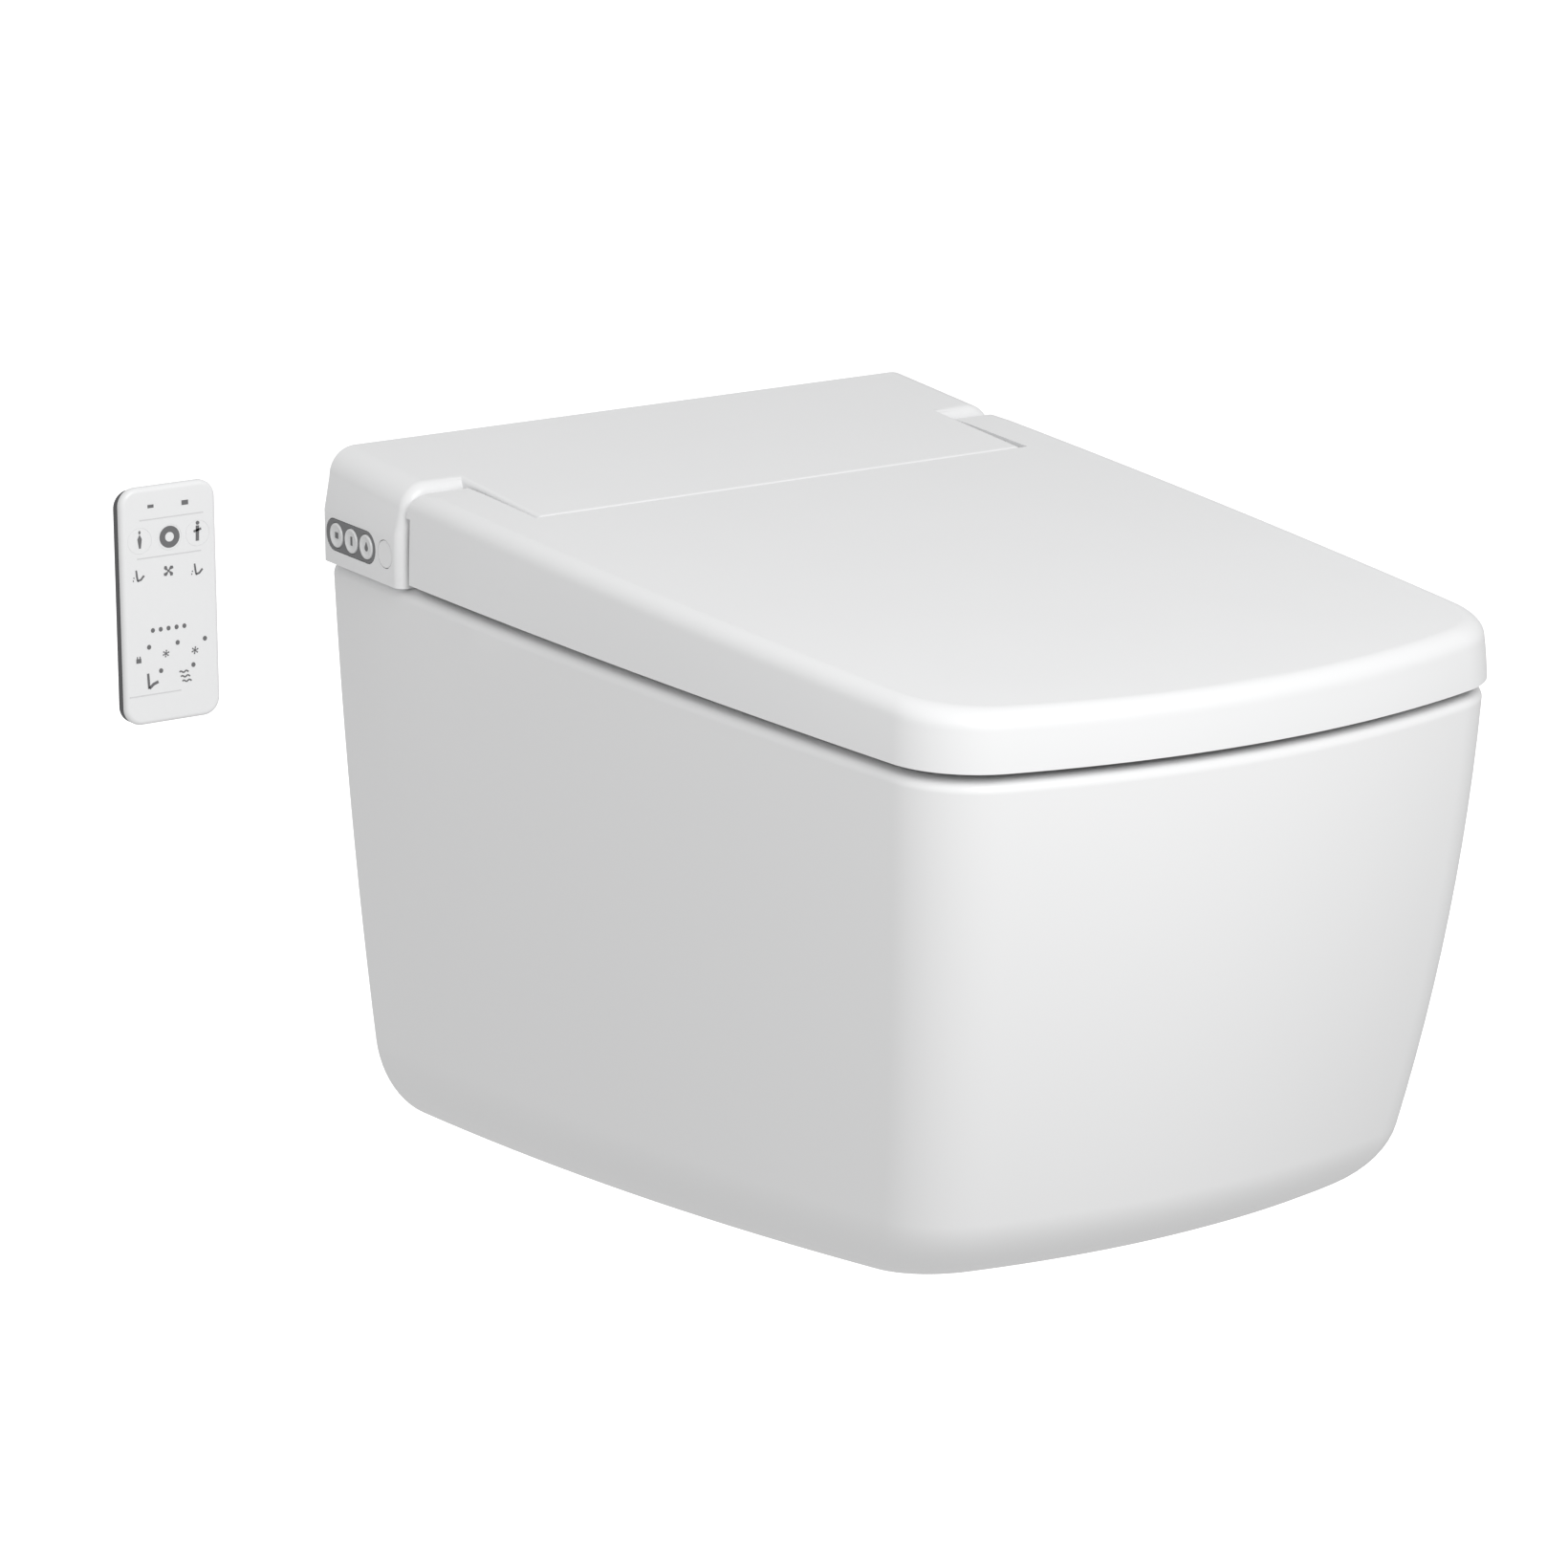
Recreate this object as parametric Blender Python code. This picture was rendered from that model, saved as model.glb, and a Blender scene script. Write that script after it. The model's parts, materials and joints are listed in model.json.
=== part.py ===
"""Wall-hung shower toilet: ceramic bowl, electric bidet unit with heated seat and lid, and wall remote.

Metres, +Z up. The wall is the plane y = 0, the front tip points along -Y, and +X is to the right for
somebody facing the wall. The origin is on the wall face, midway between the two fixing studs.
"""

import math

import bmesh
import bpy
from mathutils import Matrix, Vector

# ---- driving dimensions ----
LENGTH = 0.600  # wall to front tip
RIM = 0.080  # top of the ceramic above the fixing studs
RIM_HALF = 0.1944  # half the width of the ceramic at the wall
RIM_SWELL = 0.0108
RIM_TAPER = 0.0313
FRONT_BOW = 0.0348  # how far the front edge falls back at x = BOW_X
BOW_X = 0.180
CORNER_R = 0.052
WALL_HEIGHT = 0.3415  # ceramic's height at the wall
TIP_HEIGHT = 0.2884  # ceramic's height at the front tip
BELLY = 0.004  # the underside sags this far below a straight line halfway along
BOTTOM_R = 0.0523
CERAMIC_WALL = 0.013
DECK = 0.022  # thickness of the deck and rim
RIM_EDGE_R = 0.008

STUD_X = 0.090
FLUSH_Z = 0.035
FLUSH_R = 0.0275
WASTE_Z = -0.100
WASTE_R = 0.046
WEB_X = 0.128
WEB_DEPTH = 0.022
BOLT_X = 0.078  # the two bolts that hold the unit on the deck
BOLT_Y = -0.060

HOUSING_HALF = 0.1996
HOUSING_LEAN = 0.0035  # the sides lean in this far above the buttons
LEAN_START = RIM + 0.030
WING_DEPTH = 0.084
BLOCK_HALF = 0.1588
BLOCK_DEPTH = 0.164
HOUSING_TOP = 0.0642  # above the rim, at the wall
BLOCK_STEP = 0.0001  # the block's top lies this far under the wings' top, so the faces never coincide
HOUSING_FALL = 0.012  # drop of the top from the wall to the block's front
HOUSING_R = 0.016
SHELL = 0.003
GAP = 0.0003

HINGE_Y = -0.102
HINGE_Z = RIM + 0.0405
ARM_R = 0.0165  # rear end of the lid's arms, about the hinge axis
PIN_R = 0.005
LUG = (0.166, 0.181)  # the seat's hinge lug along X
PIN_START = 0.140
PIN_END = 0.1785

LID_INSET = -0.0015  # the lid overhangs the rim
LID_BOTTOM = RIM + 0.004
LID_TOP_REAR = 0.0524
LID_TOP_FRONT = 0.0334
LID_LEAN = 0.0015  # the lid's sides lean in this far
LID_EDGE_R = 0.010
ARM_TOP = 0.055
NOTCH_HALF = 0.1615
NOTCH_DEPTH = 0.1662
SEAT_INSET = 0.009
SEAT_REAR = 0.1785
SEAT_BOTTOM = RIM + 0.0045
SEAT_TOP_FRONT = 0.0190
SEAT_TOP_REAR = 0.0300

WAND_TILT = math.radians(16.0)
WAND_TIP = Vector((0.0, -0.158, RIM - 0.004))
WAND_R = 0.007
TOOTH = math.pi * 0.001  # tooth pitch of a module 1 rack
RACK_START = 0.028
PINION_Y = 0.036
PINION_Z = 0.0156

REMOTE_X = -0.3037
REMOTE_Z = RIM - 0.007
REMOTE_W = 0.058
REMOTE_H = 0.133
REMOTE_FRONT = -0.0150
REMOTE_SPLIT = -0.0105
REMOTE_REAR = -0.0045
REMOTE_R = 0.010
REMOTE_WALL = 0.0016

SEG = 20  # sides of a round piece

COLOURS = {
    "ceramic": ((0.90, 0.90, 0.90), 0.08, 0.0),
    "white_plastic": ((0.86, 0.86, 0.86), 0.25, 0.0),
    "inner_plastic": ((0.70, 0.71, 0.72), 0.5, 0.0),
    "dark_plastic": ((0.12, 0.12, 0.13), 0.45, 0.0),
    "grey_plastic": ((0.35, 0.36, 0.37), 0.4, 0.0),
    "light_plastic": ((0.72, 0.73, 0.74), 0.3, 0.0),
    "rubber": ((0.55, 0.55, 0.55), 0.8, 0.0),
    "steel": ((0.65, 0.65, 0.66), 0.3, 1.0),
    "board": ((0.05, 0.22, 0.10), 0.6, 0.0),
    "foil": ((0.75, 0.45, 0.25), 0.35, 1.0),
}


# ---- scene and mesh helpers ----
def clear_scene():
    for item in list(bpy.data.objects):
        bpy.data.objects.remove(item, do_unlink=True)


def new_collection(name):
    group = bpy.data.collections.new(name)
    bpy.context.scene.collection.children.link(group)
    return group


clear_scene()
PARTS = new_collection("shower_toilet")
CUTTERS = new_collection("cutters")


def make_material(name):
    colour, roughness, metallic = COLOURS[name]
    made = bpy.data.materials.new(name)
    made.use_nodes = True
    shader = made.node_tree.nodes["Principled BSDF"]
    shader.inputs["Base Color"].default_value = (*colour, 1.0)
    shader.inputs["Roughness"].default_value = roughness
    shader.inputs["Metallic"].default_value = metallic
    return made


MATERIALS = {name: make_material(name) for name in COLOURS}


def empty_at(name, point, tilt=0.0):
    made = bpy.data.objects.new(name, None)
    made.location = point
    made.rotation_euler = (tilt, 0.0, 0.0)
    PARTS.objects.link(made)
    return made


ROOT = empty_at("root", (0, 0, 0))
SEAT_AXIS = empty_at("seat_axis", (0, HINGE_Y, HINGE_Z))
LID_AXIS = empty_at("lid_axis", (0, HINGE_Y, HINGE_Z))
WAND_FRAME = empty_at("wand_frame", WAND_TIP, WAND_TILT)


def solid(name, mesh_data, frame=None):
    """A cutter or working shape: frame is the empty whose axes the mesh was drawn in."""
    mesh = bpy.data.meshes.new(name)
    bmesh.ops.recalc_face_normals(mesh_data, faces=mesh_data.faces)
    if mesh_data.calc_volume(signed=True) < 0:
        bmesh.ops.reverse_faces(mesh_data, faces=mesh_data.faces)
    mesh_data.to_mesh(mesh)
    mesh_data.free()
    made = bpy.data.objects.new(name, mesh)
    if frame is not None:
        made.parent = frame
    made.hide_render = True
    made.display_type = "WIRE"
    CUTTERS.objects.link(made)
    return made


def part(made, name, colour, parent=ROOT):
    """Turns a working shape into a finished piece, with its origin on its parent's."""
    made.name = name
    made.data.name = name
    CUTTERS.objects.unlink(made)
    PARTS.objects.link(made)
    made.hide_render = False
    made.display_type = "TEXTURED"
    made.data.materials.append(MATERIALS[colour])
    if made.parent is None:
        made.data.transform(Matrix.Translation(-Vector(parent.location)))
        made.parent = parent
    made.data.shade_smooth()
    made.data.set_sharp_from_angle(angle=math.radians(40.0))
    return made


def loft(name, rings, frame=None):
    """Closed skin through rings of equal length; each cap is strips between mirrored points."""
    mesh_data = bmesh.new()
    rows = [[mesh_data.verts.new(point) for point in ring] for ring in rings]
    count = len(rows[0])
    for low, high in zip(rows, rows[1:]):
        for i in range(count):
            j = (i + 1) % count
            mesh_data.faces.new((low[i], low[j], high[j], high[i]))
    for row in (rows[0], rows[-1]):
        for i in range((count - 1) // 2):
            strip = (row[i], row[i + 1], row[count - 2 - i], row[count - 1 - i])
            mesh_data.faces.new(dict.fromkeys(strip))
    return solid(name, mesh_data, frame)


def box(name, low, high, frame=None):
    mesh_data = bmesh.new()
    bmesh.ops.create_cube(mesh_data, size=1.0)
    size = Vector(high) - Vector(low)
    middle = (Vector(high) + Vector(low)) / 2
    bmesh.ops.scale(mesh_data, vec=size, verts=mesh_data.verts)
    bmesh.ops.translate(mesh_data, vec=middle, verts=mesh_data.verts)
    return solid(name, mesh_data, frame)


def rod(name, start, end, radius, end_radius=None, segments=SEG, frame=None):
    """Cylinder or cone from start to end."""
    start = Vector(start)
    along = Vector(end) - start
    mesh_data = bmesh.new()
    bmesh.ops.create_cone(
        mesh_data,
        cap_ends=True,
        segments=segments,
        radius1=radius,
        radius2=radius if end_radius is None else end_radius,
        depth=along.length,
    )
    turn = Vector((0, 0, 1)).rotation_difference(along).to_matrix().to_4x4()
    mesh_data.transform(Matrix.Translation(start + along / 2) @ turn)
    return solid(name, mesh_data, frame)


def capsule(name, low_y, high_y, z, radius, x_from, x_to):
    """Slab with round ends, lying along Y, extruded along X."""
    ring = []
    for k in range(SEG):
        angle = 2 * math.pi * (k + 0.5) / SEG
        end = high_y - radius if math.cos(angle) > 0 else low_y + radius
        ring.append((end + radius * math.cos(angle), z + radius * math.sin(angle)))
    return loft(name, [[(x, y, height) for y, height in ring] for x in (x_from, x_to)])


def rounded_rectangle(width, height, radius, steps=5):
    points = []
    for corner, (sx, sz) in enumerate(((1, 1), (-1, 1), (-1, -1), (1, -1))):
        for k in range(steps + 1):
            angle = math.radians(90.0 * (corner + k / steps))
            x = sx * (width / 2 - radius) + radius * math.cos(angle)
            points.append((x, sz * (height / 2 - radius) + radius * math.sin(angle)))
    return points


def plate(name, outline, x, z, y_from, y_to):
    """Slab parallel to the wall with the given (x, z) outline."""
    return loft(name, [[(x + a, y, z + b) for a, b in outline] for y in (y_from, y_to)])


def tube(name, points, radius):
    """Round tube along a smooth path through the points, as a closed mesh."""
    curve = bpy.data.curves.new(name, "CURVE")
    curve.dimensions = "3D"
    curve.bevel_depth = radius
    curve.bevel_resolution = 2
    curve.use_fill_caps = True
    path = smooth_path(points)
    spline = curve.splines.new("POLY")
    spline.points.add(len(path) - 1)
    for target, point in zip(spline.points, path):
        target.co = (*point, 1.0)
    holder = bpy.data.objects.new(name + "_path", curve)
    CUTTERS.objects.link(holder)
    graph = bpy.context.evaluated_depsgraph_get()
    mesh = bpy.data.meshes.new_from_object(holder.evaluated_get(graph))
    bpy.data.objects.remove(holder, do_unlink=True)
    mesh_data = bmesh.new()
    mesh_data.from_mesh(mesh)
    bpy.data.meshes.remove(mesh)
    bmesh.ops.remove_doubles(mesh_data, verts=mesh_data.verts, dist=0.00001)
    return solid(name, mesh_data)


def smooth_path(points, steps=3):
    """Catmull-Rom points through the given ones."""
    known = [Vector(point) for point in points]
    known = [known[0] * 2 - known[1], *known, known[-1] * 2 - known[-2]]
    path = []
    for i in range(1, len(known) - 2):
        a, b, c, d = known[i - 1 : i + 3]
        for k in range(steps):
            t = k / steps
            square = a * 2 - b * 5 + c * 4 - d
            cube = b * 3 - a - c * 3 + d
            path.append((b * 2 + (c - a) * t + square * t**2 + cube * t**3) / 2)
    path.append(known[-2])
    return path


def boolean(target, other, operation):
    change = target.modifiers.new(operation.lower(), "BOOLEAN")
    change.operation = operation
    change.solver = "EXACT"
    change.object = other
    return target


def cut(target, *others):
    for other in others:
        boolean(target, other, "DIFFERENCE")
    return target


def join(target, *others):
    for other in others:
        boolean(target, other, "UNION")
    return target


def hinge_rod(name, x_from, x_to, radius, segments=SEG):
    """Cylinder along the seat and lid hinge."""
    return rod(name, (x_from, HINGE_Y, HINGE_Z), (x_to, HINGE_Y, HINGE_Z), radius, segments=segments)


# ---- plan outlines ----
def side_normal(depth):
    slope = (RIM_SWELL - 2 * RIM_TAPER * depth / LENGTH) / LENGTH
    return Vector((1.0, -slope)).normalized()


def front_normal(x):
    return Vector((2 * FRONT_BOW * x / BOW_X**2, 1.0)).normalized()


def half_width(depth):
    t = depth / LENGTH
    return RIM_HALF + RIM_SWELL * t - RIM_TAPER * t * t


def front_depth(x):
    return LENGTH - FRONT_BOW * (x / BOW_X) ** 2


def corner():
    """Where the round corner leaves the side and meets the front: its centre, depth and x."""
    side_depth = LENGTH - CORNER_R
    front_x = RIM_HALF - CORNER_R
    for _ in range(40):
        side, front = side_normal(side_depth), front_normal(front_x)
        centre_x = half_width(side_depth) - CORNER_R * side.x
        front_x = centre_x + CORNER_R * front.x
        centre_depth = front_depth(front_x) - CORNER_R * front.y
        side_depth = centre_depth + CORNER_R * side.y
    return centre_x, centre_depth, side_depth, front_x


def rim_outline(rear, side_steps=8, corner_steps=6, front_steps=4):
    """(x, y) points from the left rear, round the front, to the right rear."""
    centre_x, centre_depth, side_depth, front_x = corner()
    right = []
    for k in range(side_steps):
        depth = rear + (side_depth - rear) * k / side_steps
        right.append((half_width(depth), -depth))
    side, front = side_normal(side_depth), front_normal(front_x)
    start, end = math.atan2(side.y, side.x), math.atan2(front.y, front.x)
    for k in range(corner_steps):
        angle = start + (end - start) * k / corner_steps
        right.append(
            (centre_x + CORNER_R * math.cos(angle), -centre_depth - CORNER_R * math.sin(angle))
        )
    for k in range(front_steps):
        x = front_x * (1 - k / front_steps)
        right.append((x, -front_depth(x)))
    left = [(-x, y) for x, y in right]
    return left + [(0.0, -LENGTH)] + right[::-1]


def shrink(outline, side, front):
    """Moves an outline in by side at the sides and front at the tip."""
    return [(x * (1 - side / RIM_HALF), y * (1 - front / LENGTH)) for x, y in outline]


def inset_plan(rear, inset):
    """The rim's outline moved in by inset and cut off straight at the rear depth."""
    return shrink(rim_outline(rear / (1 - inset / LENGTH)), inset, inset)


def egg(rear, front, half, steps=28, power=2.3):
    """Closed superellipse outline whose points pair up left and right."""
    centre, reach = -(rear + front) / 2, (front - rear) / 2
    points = []
    for k in range(steps):
        angle = 2 * math.pi * (k + 0.5) / steps - math.pi / 2
        c, s = math.cos(angle), math.sin(angle)
        points.append(
            (
                -half * math.copysign(abs(s) ** (2 / power), s),
                centre + reach * math.copysign(abs(c) ** (2 / power), c),
            )
        )
    order = steps // 4
    return points[order:] + points[:order]


def quarter(radius, steps):
    """(inset, drop) pairs round a quarter circle, from the flat face to the side."""
    pairs = []
    for k in range(steps + 1):
        angle = math.radians(90.0 * k / steps)
        pairs.append((radius * (1 - math.sin(angle)), radius * (1 - math.cos(angle))))
    return pairs


# ---- ceramic ----
def bottom_curl(level):
    """How far the rounded bottom edge has turned in at this level, 0 to 1."""
    start = 1 - BOTTOM_R / ((WALL_HEIGHT + TIP_HEIGHT) / 2)
    if level <= start:
        return 0.0
    return 1 - math.sqrt(max(0.0, 1 - ((level - start) / (1 - start)) ** 2))


def ceramic_ring(level, inset=0.0, rear=0.0):
    """Ring of the bowl's outside at a level from 0, the rim, to 1, the underside."""
    curl = bottom_curl(level)
    front = 0.0149 * level + 0.0385 * level**2 + 0.0630 * curl + inset
    ring = []
    for x, y in rim_outline(0.0):
        share = -y / LENGTH
        side = 0.0124 * level + 0.0156 * level**2 + (0.0450 - 0.0080 * share) * curl + inset
        height = WALL_HEIGHT + (TIP_HEIGHT - WALL_HEIGHT) * share + 4 * BELLY * share * (1 - share)
        ring.append((x * (1 - side / RIM_HALF), y * (1 - front / LENGTH), RIM - level * height))
    ring[0] = (ring[0][0], rear, ring[0][2])
    ring[-1] = (ring[-1][0], rear, ring[-1][2])
    return ring


def basin_rings(extra, top):
    """Rings of the basin: (height, rear, front, half width), grown by extra."""
    levels = (
        (top, 0.165, 0.552, 0.130),
        (RIM - 0.045, 0.172, 0.545, 0.124),
        (RIM - 0.100, 0.185, 0.470, 0.100),
        (RIM - 0.145, 0.200, 0.395, 0.070),
        (RIM - 0.190, 0.210, 0.360, 0.052),
        (RIM - 0.238 - extra, 0.238, 0.330, 0.036),
    )
    return [
        [(x, y, z) for x, y in egg(rear - extra, front + extra, half + extra)]
        for z, rear, front, half in levels
    ]


TRAP_PATH = (
    (0, -0.292, -0.125),
    (0, -0.268, -0.165),
    (0, -0.225, -0.184),
    (0, -0.180, -0.170),
    (0, -0.150, -0.122),
    (0, -0.118, -0.082),
    (0, -0.080, -0.078),
    (0, -0.045, -0.094),
    (0, -0.020, -0.100),
    (0, -0.005, -0.100),
)


def make_ceramic():
    edge = [ceramic_ring(drop / WALL_HEIGHT, inset) for inset, drop in quarter(RIM_EDGE_R, 3)]
    side = [ceramic_ring(level) for level in (0.3, 0.6, 0.8333, 0.9, 0.95, 0.983, 1.0)]
    bowl = loft("ceramic_bowl", edge + side)
    hollow = loft(
        "wall_hollow",
        [
            ceramic_ring(level, CERAMIC_WALL, rear=0.02)
            for level in (DECK / WALL_HEIGHT, 0.3, 0.6, 0.82, 0.88, 0.93, 0.955)
        ],
    )
    trap_end = (0, 0.01, WASTE_Z)
    kept = [
        loft("basin_block", basin_rings(0.012, RIM)),
        box("nozzle_pocket_block", (-0.107, -0.190, RIM - 0.040), (0.107, -0.092, RIM)),
        tube("trap_block", TRAP_PATH, 0.045),
        box("wall_web", (-WEB_X, -WEB_DEPTH, -0.172), (WEB_X, 0.03, RIM)),
        rod("waste_boss", (0, -0.055, WASTE_Z), trap_end, 0.058),
        rod("flush_block", (0, -0.190, 0.030), (0, 0.01, 0.030), 0.036),
    ]
    cut(hollow, *kept)
    cut(
        bowl,
        hollow,
        loft("basin_cavity", basin_rings(0.0, RIM + 0.005)),
        box("nozzle_pocket", (-0.095, -0.200, RIM - 0.022), (0.095, -0.105, RIM + 0.01)),
        tube("trap_bore", TRAP_PATH, 0.033),
        rod("waste_bore", (0, -0.032, WASTE_Z), trap_end, WASTE_R),
        rod("flush_bore", (0, -0.050, FLUSH_Z), (0, 0.01, FLUSH_Z), FLUSH_R),
        rod("flush_channel", (0, -0.190, 0.030), (0, -0.04, 0.030), 0.015),
    )
    for side in (-1, 1):
        cut(
            bowl,
            rod("stud_bore", (side * STUD_X, -0.04, 0), (side * STUD_X, 0.01, 0), 0.009),
            rod("deck_bore", (side * BOLT_X, BOLT_Y, 0.03), (side * BOLT_X, BOLT_Y, 0.1), 0.0065),
        )
    return part(bowl, "ceramic_bowl", "ceramic")


def ring_seal(name, z, outer, inner, length):
    seal = rod(name, (0, -length, z), (0, -GAP, z), outer)
    cut(seal, rod(name + "_bore", (0, -length - 0.01, z), (0, 0.01, z), inner))
    return part(seal, name, "rubber")


def wall_fixings():
    for side, word in ((-1, "left"), (1, "right")):
        x = side * STUD_X
        bush = rod("bush", (x, -WEB_DEPTH - 0.004, 0), (x, -GAP, 0), 0.0086)
        flange = rod("flange", (x, -WEB_DEPTH - 0.004, 0), (x, -WEB_DEPTH - GAP, 0), 0.014)
        join(bush, flange)
        cut(bush, rod("bush_bore", (x, -0.04, 0), (x, 0.01, 0), 0.0065))
        part(bush, "fixing_bush_" + word, "inner_plastic")
        nut = rod("nut", (x, -WEB_DEPTH - 0.0145, 0), (x, -WEB_DEPTH - 0.0044, 0), 0.0110, segments=6)
        cut(nut, rod("nut_bore", (x, -0.05, 0), (x, 0.01, 0), 0.0060))
        part(nut, "fixing_nut_" + word, "steel")


# ---- bidet unit ----
def housing_top(depth):
    return RIM + HOUSING_TOP - HOUSING_FALL * depth / BLOCK_DEPTH


def housing_ring(depth, half, radius, bottom, drop=0.0, lean=0.0):
    """Section of the housing at a depth from the wall: leaning sides and rounded upper corners."""
    top = housing_top(depth) - drop
    right = [(half, bottom), (half, LEAN_START)]
    for inset, below in reversed(quarter(radius, 5)):
        right.append((half - lean - inset, top - below))
    left = [(-x, z) for x, z in right]
    return [(x, -depth, z) for x, z in left + right[::-1]]


BUTTONS = (("stop_button", -0.0142), ("rear_wash_button", -0.0309), ("front_wash_button", -0.0476))
BUTTON_Z = RIM + 0.0175
BUTTON_R = 0.007
BEZEL = (-0.0574, -0.0024)  # rear and front ends of the button panel
BEZEL_R = 0.009
RECEIVER_R = 0.0078
RECEIVER_Y = -0.068
MAINS = (-0.140, RIM + 0.018)
WATER = (0.127, RIM + 0.022)


def make_housing():
    bottom = RIM + 0.0005
    shell = loft(
        "rear_housing",
        [
            housing_ring(depth, HOUSING_HALF, HOUSING_R, bottom, lean=HOUSING_LEAN)
            for depth in (0.0005, WING_DEPTH)
        ],
    )
    join(
        shell,
        loft(
            "housing_block",
            [housing_ring(depth, BLOCK_HALF, 0.002, bottom, BLOCK_STEP) for depth in (0.050, BLOCK_DEPTH)],
        ),
    )
    inside = loft(
        "housing_inside",
        [
            housing_ring(depth, HOUSING_HALF - SHELL, HOUSING_R - SHELL, RIM - 0.01, SHELL, HOUSING_LEAN)
            for depth in (SHELL, WING_DEPTH - SHELL)
        ],
    )
    join(
        inside,
        loft(
            "block_inside",
            [
                housing_ring(depth, BLOCK_HALF - SHELL, 0.002, RIM - 0.01, SHELL + BLOCK_STEP)
                for depth in (0.050, BLOCK_DEPTH - SHELL)
            ],
        ),
    )
    cut(
        shell,
        inside,
        capsule("bezel_hole", BEZEL[0] - GAP, BEZEL[1] + GAP, BUTTON_Z, BEZEL_R + GAP, -0.21, -0.19),
        rod("receiver_hole", (-0.21, RECEIVER_Y, BUTTON_Z), (-0.19, RECEIVER_Y, BUTTON_Z), RECEIVER_R + GAP),
        hinge_rod("pin_holes", -0.17, 0.17, PIN_R + GAP),
        rod("mains_hole", (MAINS[0], -0.02, MAINS[1]), (MAINS[0], 0.02, MAINS[1]), 0.0078),
        rod("water_hole", (WATER[0], -0.02, WATER[1]), (WATER[0], 0.02, WATER[1]), 0.0083),
        box("guide_notch", (-0.0108, -0.18, RIM - 0.01), (0.0108, -0.15, RIM + 0.0062)),
    )
    return part(shell, "rear_housing", "white_plastic")


def make_base_plate():
    low, high = RIM + 0.0005, RIM + 0.0035
    half, inner = HOUSING_HALF - SHELL - GAP, BLOCK_HALF - SHELL - GAP
    base = box("base", (-half, -WING_DEPTH + SHELL + GAP, low), (half, -SHELL - GAP, high))
    join(base, box("base_block", (-inner, -BLOCK_DEPTH + SHELL + GAP, low), (inner, -0.05, high)))
    cut(
        base,
        box("guide_bay", (-0.0112, -0.18, RIM - 0.01), (0.0112, -0.092, RIM + 0.01)),
        box("duct_bay", (0.010, -0.18, RIM - 0.01), (0.080, -0.118, RIM + 0.01)),
    )
    for side in (-1, 1):
        x = side * BOLT_X
        cut(base, rod("bolt_hole", (x, BOLT_Y, RIM - 0.01), (x, BOLT_Y, 0.1), 0.0045))
    slot_pitch, slot_width = 0.010, 0.005
    for k in range(4):
        x = -0.068 + slot_pitch * k
        cut(base, box("filter_slot", (x, -0.150, RIM - 0.01), (x + slot_width, -0.124, RIM + 0.01)))
    return part(base, "base_plate", "inner_plastic")


def mounting_bolts():
    for side, word in ((-1, "left"), (1, "right")):
        x = side * BOLT_X
        bolt = rod("bolt", (x, BOLT_Y, RIM - 0.045), (x, BOLT_Y, RIM + 0.005), 0.004, segments=16)
        join(bolt, rod("head", (x, BOLT_Y, RIM + 0.0038), (x, BOLT_Y, RIM + 0.0078), 0.0075, segments=6))
        part(bolt, "mounting_bolt_" + word, "steel")


def make_controls():
    face = -HOUSING_HALF
    bezel = capsule("bezel", *BEZEL, BUTTON_Z, BEZEL_R, face, face + 0.003)
    for name, y in BUTTONS:
        cut(bezel, rod(name + "_hole", (-0.21, y, BUTTON_Z), (-0.18, y, BUTTON_Z), BUTTON_R + GAP))
        button = rod(name, (face - 0.0008, y, BUTTON_Z), (face + 0.0060, y, BUTTON_Z), BUTTON_R)
        join(
            button,
            rod("flange", (face + 0.0045, y, BUTTON_Z), (face + 0.0060, y, BUTTON_Z), 0.0080),
            rod("stem", (face + 0.0050, y, BUTTON_Z), (face + 0.0130, y, BUTTON_Z), 0.0025, segments=12),
        )
        part(button, name, "light_plastic", empty_at(name + "_travel", (face, y, BUTTON_Z)))
    part(bezel, "button_bezel", "grey_plastic")
    part(
        box("switches", (face + 0.0150, -0.078, RIM + 0.008), (face + 0.0165, -0.006, RIM + 0.030)),
        "button_board",
        "board",
    )
    lens = rod("lens", (face, RECEIVER_Y, BUTTON_Z), (face + 0.005, RECEIVER_Y, BUTTON_Z), RECEIVER_R)
    part(lens, "remote_receiver", "white_plastic")


def make_electrics():
    board = box("board", (-0.172, -0.078, RIM + 0.008), (-0.110, -0.010, RIM + 0.0096))
    for low, high in (
        ((-0.160, -0.060), (-0.144, -0.044)),
        ((-0.135, -0.070), (-0.120, -0.058)),
        ((-0.165, -0.030), (-0.150, -0.018)),
        ((-0.132, -0.040), (-0.118, -0.020)),
    ):
        join(board, box("chip", (*low, RIM + 0.009), (*high, RIM + 0.0125)))
    part(board, "control_board", "board")
    supply = box("supply", (-0.170, -0.078, RIM + 0.028), (-0.112, -0.012, RIM + 0.047))
    part(supply, "power_supply", "dark_plastic")
    sensor = box("sensor", (-0.110, -0.1607, RIM + 0.030), (-0.085, -0.150, RIM + 0.044))
    part(sensor, "seat_sensor", "dark_plastic")
    gland = rod("gland", (MAINS[0], -0.009, MAINS[1]), (MAINS[0], -0.0005, MAINS[1]), 0.0075)
    join(gland, rod("collar", (MAINS[0], -0.009, MAINS[1]), (MAINS[0], -0.0033, MAINS[1]), 0.010))
    cut(gland, rod("cord_hole", (MAINS[0], -0.02, MAINS[1]), (MAINS[0], 0.02, MAINS[1]), 0.0036))
    part(gland, "mains_gland", "rubber")


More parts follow.
